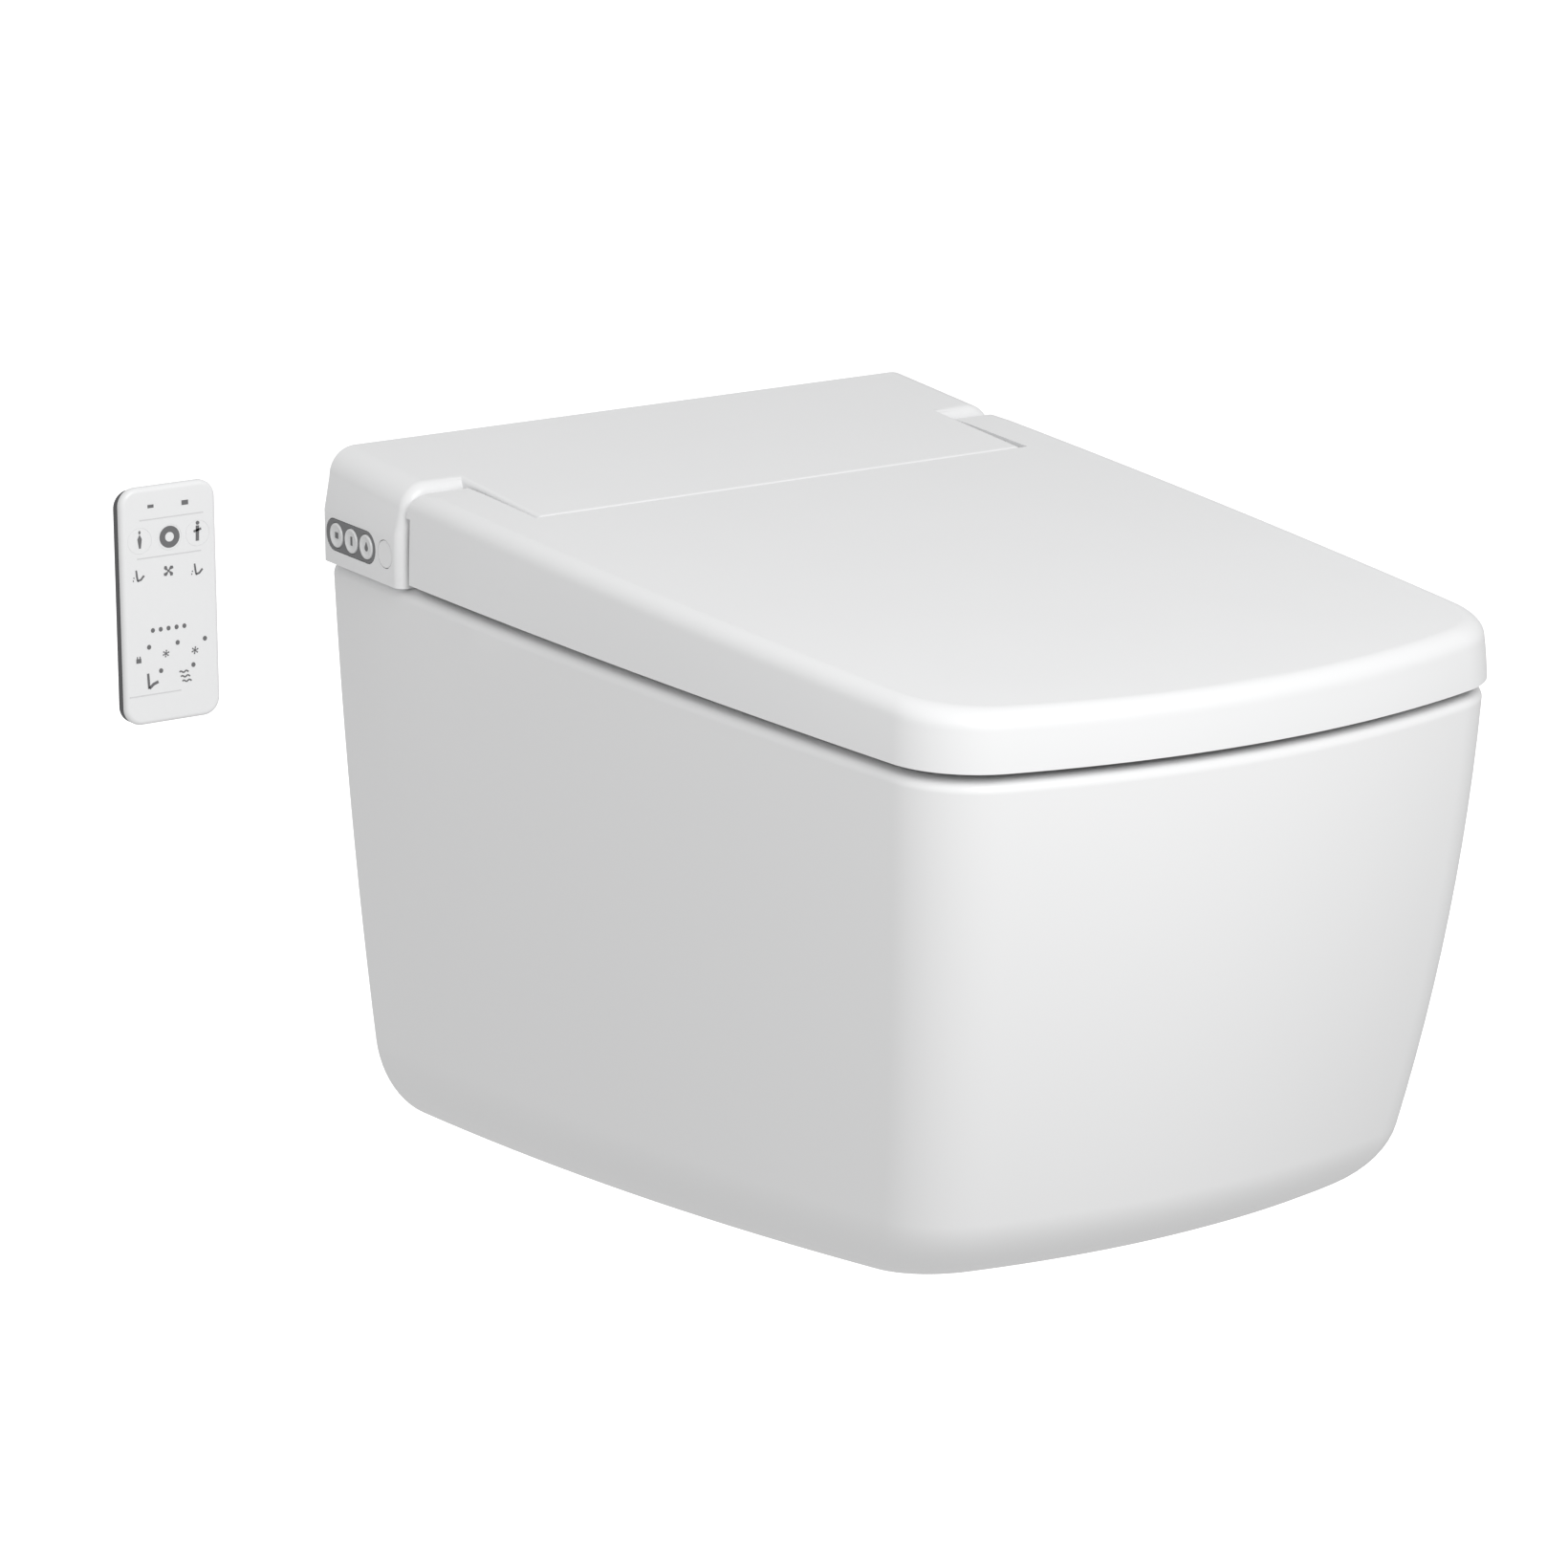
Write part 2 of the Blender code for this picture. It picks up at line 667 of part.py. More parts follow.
def make_water():
    heater = box("tank", (-0.100, -0.110, RIM + 0.0095), (-0.026, -0.015, RIM + 0.040))
    join(heater, rod("tank_port", (-0.045, -0.030, RIM + 0.039), (-0.045, -0.030, RIM + 0.044), 0.005))
    part(heater, "water_heater", "inner_plastic")
    valve = box("valve", (0.112, -0.040, RIM + 0.010), (0.142, -0.012, RIM + 0.034))
    join(
        valve,
        rod("inlet", (WATER[0], -0.014, WATER[1]), (WATER[0], -0.0005, WATER[1]), 0.008),
        rod("outlet", (WATER[0], -0.026, RIM + 0.033), (WATER[0], -0.026, RIM + 0.044), 0.005),
    )
    cut(valve, rod("inlet_bore", (WATER[0], -0.020, WATER[1]), (WATER[0], 0.01, WATER[1]), 0.0055))
    part(valve, "inlet_valve", "inner_plastic")
    port_top, bend, run = RIM + 0.0450, RIM + 0.0484, RIM + 0.0530
    path = (
        (WATER[0], -0.026, port_top),
        (WATER[0], -0.026, bend),
        (WATER[0] - 0.006, -0.026, run - 0.0005),
        (0.080, -0.027, run),
        (0.000, -0.029, run),
        (-0.038, -0.030, run - 0.0005),
        (-0.045, -0.030, bend),
        (-0.045, -0.030, port_top),
    )
    hose = tube("hose", path, 0.003)
    part(hose, "supply_hose", "rubber")
    pump = rod("pump", (0.130, -0.086, RIM + 0.022), (0.130, -0.046, RIM + 0.022), 0.014)
    join(pump, box("pump_foot", (0.118, -0.080, RIM + 0.0045), (0.142, -0.052, RIM + 0.015)))
    part(pump, "water_pump", "dark_plastic")


def teeth(count, start):
    """Side outline of a rack, in (y, z), with the teeth pointing up."""
    foot, root, crest = 0.0062, 0.0076, 0.0094
    points = [(start, foot), (start, root)]
    for k in range(count):
        y = start + TOOTH * k
        points += [
            (y + TOOTH * 0.15, root),
            (y + TOOTH * 0.34, crest),
            (y + TOOTH * 0.60, crest),
            (y + TOOTH * 0.79, root),
        ]
    points.append((start + TOOTH * count, root))
    points.append((start + TOOTH * count, foot))
    return points


def prism_x(name, outline, x_from, x_to, frame=None):
    """Prism along X over a (y, z) outline that may be concave."""
    mesh_data = bmesh.new()
    base = [mesh_data.verts.new((x_from, y, z)) for y, z in outline]
    face = mesh_data.faces.new(base)
    grown = bmesh.ops.extrude_face_region(mesh_data, geom=[face])
    moved = [item for item in grown["geom"] if isinstance(item, bmesh.types.BMVert)]
    bmesh.ops.translate(mesh_data, vec=(x_to - x_from, 0, 0), verts=moved)
    return solid(name, mesh_data, frame)


def make_wand():
    frame = WAND_FRAME
    guide = box("guide", (-0.010, -0.004, -0.010), (0.010, 0.150, 0.010), frame)
    cut(
        guide,
        rod("guide_bore", (0, -0.02, 0), (0, 0.2, 0), 0.0078, frame=frame),
        box("rack_slot", (-0.003, -0.02, 0.0), (0.003, 0.2, 0.02), frame),
    )
    part(guide, "wand_guide", "inner_plastic")
    wand = rod("wand", (0, 0.0183, 0), (0, 0.142, 0), WAND_R, frame=frame)
    rack = prism_x("rack", teeth(35, RACK_START), -0.002, 0.002, frame)
    part(join(wand, rack), "spray_wand", "white_plastic")
    tip = rod("tip", (0, 0.003, 0), (0, 0.018, 0), WAND_R, frame=frame)
    join(tip, rod("nose", (0, 0.0, 0), (0, 0.0031, 0), 0.0045, WAND_R, frame=frame))
    cut(tip, box("spray_slot", (-0.003, 0.006, 0.0055), (0.003, 0.012, 0.01), frame))
    part(tip, "nozzle_tip", "white_plastic")
    pinion = pinion_shape(frame)
    part(pinion, "wand_pinion", "inner_plastic")
    motor = rod("motor", (0.0112, PINION_Y, PINION_Z), (0.030, PINION_Y, PINION_Z), 0.011, frame=frame)
    part(motor, "wand_motor", "steel")
    wiper = box("wiper", (-0.0098, -0.0068, -0.0098), (0.0098, -0.0043, 0.0098), frame)
    cut(
        wiper,
        rod("wiper_bore", (0, -0.02, 0), (0, 0.02, 0), WAND_R + 0.0004, frame=frame),
        box("wiper_slot", (-0.0026, -0.02, 0.0), (0.0026, 0.02, 0.02), frame),
    )
    part(wiper, "wand_wiper", "rubber")


def pinion_shape(frame):
    """Twelve-tooth pinion, a tooth gap facing the rack tooth below it."""
    count = 12
    root, crest = 0.0048, 0.0067
    tooth = ((-0.50, root), (-0.30, root), (-0.13, crest), (0.13, crest), (0.30, root))
    outline = []
    rack_phase = (PINION_Y - RACK_START) / TOOTH - 0.47
    offset = (rack_phase - math.floor(rack_phase) + 0.5) * 2 * math.pi / count
    for k in range(count):
        middle = -math.pi / 2 + offset + 2 * math.pi * k / count
        for shift, radius in tooth:
            angle = middle + shift * 2 * math.pi / count
            outline.append((PINION_Y + radius * math.cos(angle), PINION_Z + radius * math.sin(angle)))
    wheel = prism_x("pinion", outline, -0.0022, 0.0022, frame)
    hub_from, hub_to = (-0.0045, PINION_Y, PINION_Z), (0.0109, PINION_Y, PINION_Z)
    return join(wheel, rod("hub", hub_from, hub_to, 0.0025, segments=12, frame=frame))


BLOWER = (0.0575, -0.060)


def duct_rings(thin):
    """Rings of the dryer's duct, (y, centre z, half width, half height), thinner by the wall."""
    corners = ((-1, -1), (-1, 1), (1, 1), (1, -1))
    past_mouth = 0.005 if thin > 0.0 else 0.0
    sections = (
        (-0.070, 0.018, 0.016, 0.0090),
        (-0.125, 0.014, 0.016, 0.0090),
        (-0.158 - past_mouth, -0.0075, 0.016, 0.0065),
    )
    rings = []
    for y, z, half, high in sections:
        x, z = BLOWER[0], RIM + z
        rings.append([(x + a * (half - thin), y, z + b * (high - thin)) for a, b in corners])
    return rings


def make_dryer():
    x, y = BLOWER
    scroll = rod("scroll", (x, y, RIM + 0.009), (x, y, RIM + 0.0300), 0.0265)
    join(scroll, loft("duct", duct_rings(0.0)))
    cut(
        scroll,
        rod("chamber", (x, y, RIM + 0.0105), (x, y, RIM + 0.0285), 0.0235),
        loft("duct_inside", duct_rings(0.0015)),
        rod("air_inlet", (x, y, RIM), (x, y, RIM + 0.012), 0.010),
        rod("shaft_hole", (x, y, RIM + 0.02), (x, y, RIM + 0.04), 0.003, segments=12),
    )
    part(scroll, "dryer_duct", "inner_plastic")
    blades = 9
    outline = []
    for k in range(blades):
        turn = 2 * math.pi * k / blades
        for radius, shift in ((0.006, -0.10), (0.020, -0.03), (0.020, 0.03), (0.006, 0.10)):
            outline.append((radius * math.cos(turn + shift), radius * math.sin(turn + shift)))
    wheel = star_prism("blades", outline, (x, y), RIM + 0.0130, RIM + 0.0260)
    join(
        wheel,
        rod("disc", (x, y, RIM + 0.0245), (x, y, RIM + 0.0262), 0.0205),
        rod("shaft", (x, y, RIM + 0.0240), (x, y, RIM + 0.0303), 0.002, segments=12),
    )
    part(wheel, "dryer_impeller", "dark_plastic", empty_at("dryer_axis", (x, y, RIM + 0.018)))
    part(rod("motor", (x, y, RIM + 0.0306), (x, y, RIM + 0.0450), 0.012), "dryer_motor", "steel")
    flap = box("flap", (x - 0.0155, -0.1600, RIM - 0.0140), (x + 0.0155, -0.1588, RIM - 0.0012))
    part(flap, "dryer_flap", "white_plastic", empty_at("flap_axis", (x, -0.1594, RIM - 0.0016)))
    filter_box = box("filter", (-0.075, -0.155, RIM + 0.0045), (-0.030, -0.118, RIM + 0.022))
    part(filter_box, "deodoriser_filter", "grey_plastic")


def star_prism(name, outline, centre, low, high):
    mesh_data = bmesh.new()
    base = [mesh_data.verts.new((centre[0] + a, centre[1] + b, low)) for a, b in outline]
    face = mesh_data.faces.new(base)
    grown = bmesh.ops.extrude_face_region(mesh_data, geom=[face])
    moved = [item for item in grown["geom"] if isinstance(item, bmesh.types.BMVert)]
    bmesh.ops.translate(mesh_data, vec=(0, 0, high - low), verts=moved)
    return solid(name, mesh_data)


# ---- hinge ----
def make_hinge():
    for side, word, parent in ((-1, "seat", SEAT_AXIS), (1, "lid", LID_AXIS)):
        pin = hinge_rod(word + "_pin", side * PIN_START, side * PIN_END, PIN_R)
        part(pin, word + "_hinge_pin", "steel", parent)
        cheek = BLOCK_HALF - SHELL
        barrel = hinge_rod(word + "_barrel", side * (cheek - 0.0395), side * (cheek - 0.0007), 0.010)
        cut(barrel, hinge_rod("barrel_bore", side * (PIN_START - 0.005), side * 0.16, PIN_R + GAP))
        part(barrel, word + "_damper", "dark_plastic")


# ---- seat ----
def seat_top(depth):
    rise = (SEAT_TOP_REAR - SEAT_TOP_FRONT) * (LENGTH - depth) / (LENGTH - SEAT_REAR)
    return RIM + SEAT_TOP_FRONT + min(rise, SEAT_TOP_REAR - SEAT_TOP_FRONT)


def seat_rings(inset, low, radius, drop, rear=SEAT_REAR):
    """Rings of the seat's outside, from its lower edge to its rounded top."""
    rings = []
    for lift, extra in ((None, 0.0), (radius, 0.0), (radius * 0.4, radius * 0.2), (0.0, radius)):
        ring = []
        for x, y in inset_plan(rear, SEAT_INSET + inset + extra):
            z = low if lift is None else seat_top(-y) - drop - lift
            ring.append((x, y, z))
        rings.append(ring)
    return rings


def seat_opening(grow, low, high):
    outline = egg(0.235 - grow, 0.515 + grow, 0.105 + grow)
    return loft("seat_opening", [[(x, y, z) for x, y in outline] for z in (low, high)])


def seat_arm(side, name):
    """Arm from the seat up to the hinge pin, with a round lug."""
    y, z = HINGE_Y, HINGE_Z
    lug = 0.0095
    outline = []
    for k in range(9):
        angle = math.radians(-90.0 + 22.5 * k)
        outline.append((y + lug * math.cos(angle), z + lug * math.sin(angle)))
    outline += [
        (-0.150, seat_top(0.15) + 0.006),
        (-0.185, RIM + 0.020),
        (-0.185, SEAT_BOTTOM),
        (-0.135, SEAT_BOTTOM),
    ]
    inner, outer = sorted((side * LUG[0], side * LUG[1]))
    return prism_x(name, outline, inner, outer)


def make_seat():
    shell = loft("seat_shell", seat_rings(0.0, SEAT_BOTTOM, 0.006, 0.0))
    inside = loft("seat_inside", seat_rings(0.003, RIM - 0.01, 0.003, 0.003, rear=SEAT_REAR + 0.003))
    rim_wall = seat_opening(0.003, RIM - 0.02, RIM + 0.05)
    cut(inside, rim_wall)
    cut(shell, inside)
    join(shell, seat_arm(-1, "seat_arm_left"), seat_arm(1, "seat_arm_right"))
    cut(
        shell,
        seat_opening(0.0, RIM - 0.03, RIM + 0.06),
        hinge_rod("seat_pin_hole", -0.19, 0.19, PIN_R + GAP),
    )
    part(shell, "seat_shell", "white_plastic", SEAT_AXIS)
    low, high = SEAT_BOTTOM, SEAT_BOTTOM + 0.0025
    outline = inset_plan(SEAT_REAR + SHELL + GAP, SEAT_INSET + SHELL + GAP)
    base = loft("seat_base", [[(x, y, z) for x, y in outline] for z in (low, high)])
    cut(base, seat_opening(SHELL + GAP, RIM - 0.03, RIM + 0.06))
    for side in (-1, 1):
        near, far = sorted((side * (LUG[0] - 0.0005), side * (LUG[1] + 0.0005)))
        cut(base, box("arm_gap", (near, -0.1856, RIM - 0.01), (far, -0.16, RIM + 0.03)))
    part(base, "seat_base", "inner_plastic", SEAT_AXIS)
    outline = inset_plan(0.200, SEAT_INSET + 0.011)
    foil = loft(
        "heater",
        [[(x, y, seat_top(-y) - drop) for x, y in outline] for drop in (0.0044, 0.0034)],
    )
    cut(foil, seat_opening(0.008, RIM - 0.03, RIM + 0.06))
    part(foil, "seat_heater", "foil", SEAT_AXIS)
    for place, y, x in (("rear", -0.23, 0.145), ("front", -0.53, 0.118)):
        for side, word in ((-1, "left"), (1, "right")):
            low, high = (side * x, y, RIM + 0.0005), (side * x, y, SEAT_BOTTOM - GAP)
            foot = rod("foot", low, high, 0.008, segments=16)
            part(foot, f"seat_buffer_{place}_{word}", "rubber", SEAT_AXIS)


# ---- lid ----
def lid_top(depth):
    """Upper face of the lid: level over the arms, then falling evenly to the front."""
    fall = (LID_TOP_REAR - LID_TOP_FRONT) / (LENGTH - BLOCK_DEPTH)
    return RIM + min(ARM_TOP, LID_TOP_REAR - fall * (depth - BLOCK_DEPTH))


def lid_rings(thickness, low, rear):
    """Rings up the leaning, slightly bulging side and round the upper edge, in by a wall thickness."""
    start = LID_INSET + thickness
    ring = inset_plan(rear, start)
    rings = [[(x, y, low) for x, y in ring]]
    ring = inset_plan(rear, start + 0.38 * LID_LEAN)
    rings.append([(x, y, (low + lid_top(-y)) / 2) for x, y in ring])
    for inset, below in reversed(quarter(LID_EDGE_R - thickness, 3)):
        ring = inset_plan(rear, start + LID_LEAN + inset)
        rings.append([(x, y, lid_top(-y) - thickness - below) for x, y in ring])
    return rings


def arm_rounding(name, radius):
    """Everything behind the hinge axis and above it, outside the given radius."""
    block = box(name, (-0.25, HINGE_Y, HINGE_Z), (0.25, 0.05, HINGE_Z + 0.08))
    return cut(block, hinge_rod(name + "_core", -0.3, 0.3, radius, segments=48))


def make_lid():
    rear = -HINGE_Y - 0.0125
    shell = loft("lid_shell", lid_rings(0.0, LID_BOTTOM, -HINGE_Y - ARM_R))
    behind = box("behind_arms", (-0.25, -rear, RIM - 0.02), (0.25, 0.05, HINGE_Z + 0.0001))
    inside = loft("lid_inside", lid_rings(SHELL, RIM - 0.01, 0.07))
    notch_wall = box(
        "notch_wall",
        (-NOTCH_HALF - 0.0038, -NOTCH_DEPTH - SHELL, RIM - 0.02),
        (NOTCH_HALF + 0.0038, 0.05, RIM + 0.1),
    )
    cut(inside, notch_wall, arm_rounding("inner_rounding", ARM_R - 0.0036))
    notch = box("notch", (-NOTCH_HALF, -NOTCH_DEPTH, RIM - 0.03), (NOTCH_HALF, 0.06, RIM + 0.12))
    pin_hole = hinge_rod("lid_pin_hole", -0.168, 0.168, PIN_R + GAP)
    cut(shell, behind, arm_rounding("outer_rounding", ARM_R), inside, notch, pin_hole)
    part(shell, "lid_shell", "white_plastic", LID_AXIS)
    outline = inset_plan(NOTCH_DEPTH + 0.010, LID_INSET + LID_LEAN + LID_EDGE_R + 0.003)
    liner = loft(
        "liner",
        [[(x, y, lid_top(-y) - drop) for x, y in outline] for drop in (0.0054, 0.0034)],
    )
    part(liner, "lid_liner", "white_plastic", LID_AXIS)
    y = -0.50
    for side, word in ((-1, "left"), (1, "right")):
        low, high = seat_top(-y) + 0.0012, lid_top(-y) - 0.0060
        foot = rod("foot", (side * 0.12, y, low), (side * 0.12, y, high), 0.005, segments=16)
        part(foot, "lid_buffer_" + word, "rubber", LID_AXIS)


# ---- remote control ----
KEY_ROW = 0.0372
KEYS = (("stop_key", 0.0), ("rear_wash_key", -0.0182), ("front_wash_key", 0.0172))
KEY_R = 0.0072
TONGUE_TOP = REMOTE_Z + 0.008
TONGUE_HALF = 0.0110
CELL_Z = REMOTE_Z + 0.042


def make_remote():
    lift = empty_at("remote_lift", (REMOTE_X, REMOTE_REAR, REMOTE_Z))
    outline = rounded_rectangle(REMOTE_W, REMOTE_H, REMOTE_R)
    inner = rounded_rectangle(REMOTE_W - 2 * REMOTE_WALL, REMOTE_H - 2 * REMOTE_WALL, REMOTE_R - REMOTE_WALL)
    front = plate("front", outline, REMOTE_X, REMOTE_Z, REMOTE_FRONT, REMOTE_SPLIT - GAP)
    cut(front, plate("front_inside", inner, REMOTE_X, REMOTE_Z, REMOTE_FRONT + 0.0015, 0.01))
    back = plate("back", outline, REMOTE_X, REMOTE_Z, REMOTE_SPLIT, REMOTE_REAR)
    cut(
        back,
        plate("back_inside", inner, REMOTE_X, REMOTE_Z, -0.03, REMOTE_REAR - 0.0040),
        box(
            "tongue_slot",
            (REMOTE_X - TONGUE_HALF - GAP, REMOTE_REAR - 0.0024, REMOTE_Z - 0.1),
            (REMOTE_X + TONGUE_HALF + GAP, 0.01, TONGUE_TOP + GAP),
        ),
        rod("door_hole", (REMOTE_X, -0.02, CELL_Z), (REMOTE_X, 0.01, CELL_Z), 0.0128),
    )
    for name, x in KEYS:
        key_x, key_z = REMOTE_X + x, REMOTE_Z + KEY_ROW
        cut(front, rod(name + "_hole", (key_x, -0.03, key_z), (key_x, -0.012, key_z), KEY_R + GAP))
        key = rod(name, (key_x, REMOTE_FRONT, key_z), (key_x, REMOTE_FRONT + 0.0026, key_z), KEY_R)
        join(key, rod("key_flange", (key_x, -0.0132, key_z), (key_x, -0.0124, key_z), 0.0080))
        part(key, name, "white_plastic", lift)
    part(front, "remote_front", "white_plastic", lift)
    part(back, "remote_back", "dark_plastic", lift)
    board = box(
        "board",
        (REMOTE_X - 0.026, -0.0112, REMOTE_Z - 0.055),
        (REMOTE_X + 0.026, -0.0100, REMOTE_Z + 0.055),
    )
    part(board, "remote_board", "board", lift)
    cell = rod("cell", (REMOTE_X, -0.0094, CELL_Z), (REMOTE_X, -0.0063, CELL_Z), 0.0100)
    part(cell, "coin_cell", "steel", lift)
    door = rod("door", (REMOTE_X, -0.0060, CELL_Z), (REMOTE_X, REMOTE_REAR, CELL_Z), 0.0125)
    half_slot, half_width = 0.006, 0.0009
    slot_low = (REMOTE_X - half_slot, -0.0054, CELL_Z - half_width)
    cut(door, box("coin_slot", slot_low, (REMOTE_X + half_slot, 0.0, CELL_Z + half_width)))
    part(door, "battery_door", "dark_plastic", lift)
    plate_low, plate_high = REMOTE_Z - 0.050, REMOTE_Z + 0.024
    holder = box("holder", (REMOTE_X - 0.022, -0.0040, plate_low), (REMOTE_X + 0.022, -0.0005, plate_high))
    tongue_low = (REMOTE_X - TONGUE_HALF, -0.0064, REMOTE_Z - 0.040)
    join(holder, box("tongue", tongue_low, (REMOTE_X + TONGUE_HALF, -0.003, TONGUE_TOP)))
    part(holder, "remote_holder", "dark_plastic")


make_ceramic()
ring_seal("flush_seal", FLUSH_Z, FLUSH_R - GAP, 0.0225, 0.030)
ring_seal("waste_seal", WASTE_Z, WASTE_R - GAP, 0.0400, 0.028)
wall_fixings()
make_housing()
make_base_plate()
mounting_bolts()
make_controls()
make_electrics()
make_water()
make_wand()
make_dryer()
make_hinge()
make_seat()
make_lid()
make_remote()
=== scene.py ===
"""Looks of the wall-hung shower toilet: glazed bowl, bidet unit with seat and flat lid, wall remote.

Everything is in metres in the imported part's frame: the wall is y = 0, the front tip points along -Y and
the origin is on the wall face between the fixing studs. The visible pieces are drawn again here with fine
roundings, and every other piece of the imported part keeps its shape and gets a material.
"""

import json
import math

import bmesh
import bpy
from mathutils import Matrix, Vector


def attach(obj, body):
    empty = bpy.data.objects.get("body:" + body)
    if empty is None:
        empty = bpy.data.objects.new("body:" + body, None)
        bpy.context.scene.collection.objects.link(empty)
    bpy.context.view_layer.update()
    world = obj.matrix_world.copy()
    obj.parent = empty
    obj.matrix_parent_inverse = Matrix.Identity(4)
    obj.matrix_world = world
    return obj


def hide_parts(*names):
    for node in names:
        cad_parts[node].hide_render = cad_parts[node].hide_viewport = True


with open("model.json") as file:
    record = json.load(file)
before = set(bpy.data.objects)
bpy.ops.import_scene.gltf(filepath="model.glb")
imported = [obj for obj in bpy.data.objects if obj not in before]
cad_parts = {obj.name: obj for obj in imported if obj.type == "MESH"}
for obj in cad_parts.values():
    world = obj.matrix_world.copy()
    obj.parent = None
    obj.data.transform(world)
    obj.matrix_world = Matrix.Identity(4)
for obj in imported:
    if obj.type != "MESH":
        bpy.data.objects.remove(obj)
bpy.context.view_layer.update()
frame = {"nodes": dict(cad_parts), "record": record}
NODES = frame["nodes"]

# ---- view and studio ----
VIEW_TARGET = Vector((0.0520, -0.0827, -0.0685))
VIEW_TURN = 33.22  # degrees from straight on towards the left
VIEW_RISE = 15.75  # degrees above level
VIEW_DISTANCE = 3.392
VIEW_LENS = 135.35
FLOOR_Z = -0.62
FLOOR_SIZE = 12.0
FLOOR_GLOW = 0.85  # light of the floor's own, so that it stays pale
ROOM_LIGHT = 0.59
BACKDROP_LIGHT = 1.05  # the room's strength where the camera sees it

# ---- driving dimensions ----
LENGTH = 0.600  # wall to front tip
RIM = 0.080  # top of the ceramic above the fixing studs
RIM_HALF = 0.1944  # half the width of the ceramic at the wall
RIM_SWELL = 0.0108
RIM_TAPER = 0.0313
FRONT_BOW = 0.0348  # how far the front edge falls back at x = BOW_X
BOW_X = 0.180
CORNER_R = 0.052
WALL_HEIGHT = 0.3415  # ceramic's height at the wall
TIP_HEIGHT = 0.2884  # ceramic's height at the front tip
BELLY = 0.004  # the underside sags this far below a straight line halfway along
BOTTOM_R = 0.0523
SIDE_DRAW = (0.0124, 0.0156)  # the sides draw in by this down to the underside: evenly, then curving
FRONT_DRAW = (0.0149, 0.0385)
SIDE_CURL = 0.0450  # further in round the bottom edge, at the wall
SIDE_CURL_LOSS = 0.0080  # so much less at the front tip
FRONT_CURL = 0.0630
CERAMIC_WALL = 0.013
INNER_WALL = 0.012  # ceramic round the basin, the trap, the waste pipe and the nozzle pocket
DECK = 0.022  # thickness of the deck and rim
RIM_EDGE_R = 0.008
BASIN_EDGE_R = 0.006

STUD_X = 0.090
STUD_BORE_R = 0.009
FLUSH_Z = 0.035
FLUSH_R = 0.0275
CHANNEL_Z = 0.030  # flush channel from the pipe to the basin
CHANNEL_R = 0.015
CHANNEL_END = -0.190
WASTE_Z = -0.100
WASTE_R = 0.046
TRAP_R = 0.033
POCKET_HALF = 0.095  # hollow in the deck under the spray wand
WEB_X = 0.128
WEB_DEPTH = 0.022
BOLT_X = 0.078  # the two bolts that hold the unit on the deck
BOLT_Y = -0.060
BOLT_BORE_R = 0.0065

HOUSING_HALF = 0.1996
HOUSING_LEAN = 0.0035  # the sides lean in this far above the buttons
LEAN_START = RIM + 0.030
HOUSING_REAR = 0.0005
HOUSING_BOTTOM = RIM + 0.0005
WING_DEPTH = 0.084
WING_EDGE_R = 0.0065
BLOCK_HALF = 0.1588
BLOCK_REAR = 0.050
BLOCK_DEPTH = 0.164
BLOCK_R = 0.003
BLOCK_EDGE_R = 0.002
GUIDE_HALF = 0.0108  # notch in the block's front for the wand guide
HOUSING_TOP = 0.0642  # above the rim, at the wall
HOUSING_FALL = 0.012  # drop of the top from the wall to the block's front
HOUSING_R = 0.016
SHELL = 0.003
GAP = 0.0003

HINGE_Y = -0.102
HINGE_Z = RIM + 0.0405
ARM_R = 0.0165  # rear end of the lid's arms, about the hinge axis
ARM_END = 0.0125  # and how far behind the axis they end below it
ARM_WALL = 0.0036
PIN_R = 0.005
LUG = (0.166, 0.181)  # the seat's hinge lug along X
LUG_R = 0.0095

LID_INSET = -0.0015  # the lid overhangs the rim
LID_BOTTOM = RIM + 0.004
LID_TOP_REAR = 0.0524
LID_TOP_FRONT = 0.0334
LID_LEAN = 0.0015  # the lid's sides lean in this far
LID_EDGE_R = 0.010
ARM_TOP = 0.055
NOTCH_HALF = 0.1615
NOTCH_DEPTH = 0.1662
NOTCH_WALL = 0.0038
SEAT_INSET = 0.009
SEAT_REAR = 0.1785
SEAT_BOTTOM = RIM + 0.0045
SEAT_FLARE = 0.008  # rounding of the upper edge of the way through the seat
SEAT_TOP_FRONT = 0.0190
SEAT_TOP_REAR = 0.0300
OPENING_REAR = 0.235  # ends of the way through the seat, as depths from the wall
OPENING_FRONT = 0.515
OPENING_HALF = 0.105

REMOTE_X = -0.3037
REMOTE_Z = RIM - 0.007
REMOTE_W = 0.058
REMOTE_H = 0.133
REMOTE_FRONT = -0.0150
REMOTE_SPLIT = -0.0105
REMOTE_REAR = -0.0045
REMOTE_R = 0.010
REMOTE_EDGE_R = 0.0028
REMOTE_WALL = 0.0016
CASE_STEP = 0.002  # the case ends this far under the top of the face

BUTTON_Z = RIM + 0.0175
BUTTON_R = 0.0070
BEZEL = (-0.0574, -0.0024)  # ends of the button panel along Y
BEZEL_R = 0.009
RECEIVER_Y = -0.068
RECEIVER_R = 0.0078
MAINS = (-0.140, RIM + 0.018)
MAINS_HOLE_R = 0.0078
WATER = (0.127, RIM + 0.022)
WATER_HOLE_R = 0.0083

MM = 0.001
PAST = 0.01  # cutters reach this far past a face
WIDE = 0.25  # half the width of a cutter that crosses the whole unit
CREASE = 35.0  # edges sharper than this many degrees stay sharp in the shading
ROUND = 64  # sides of a round hole or rod
TUBE_SIDES = 32
PATH_STEPS = 6  # points on each stretch of a smooth path
SIDE_STEPS = 18
CORNER_STEPS = 16
FRONT_STEPS = 12
EDGE_STEPS = 8
SIDE_RINGS = 6


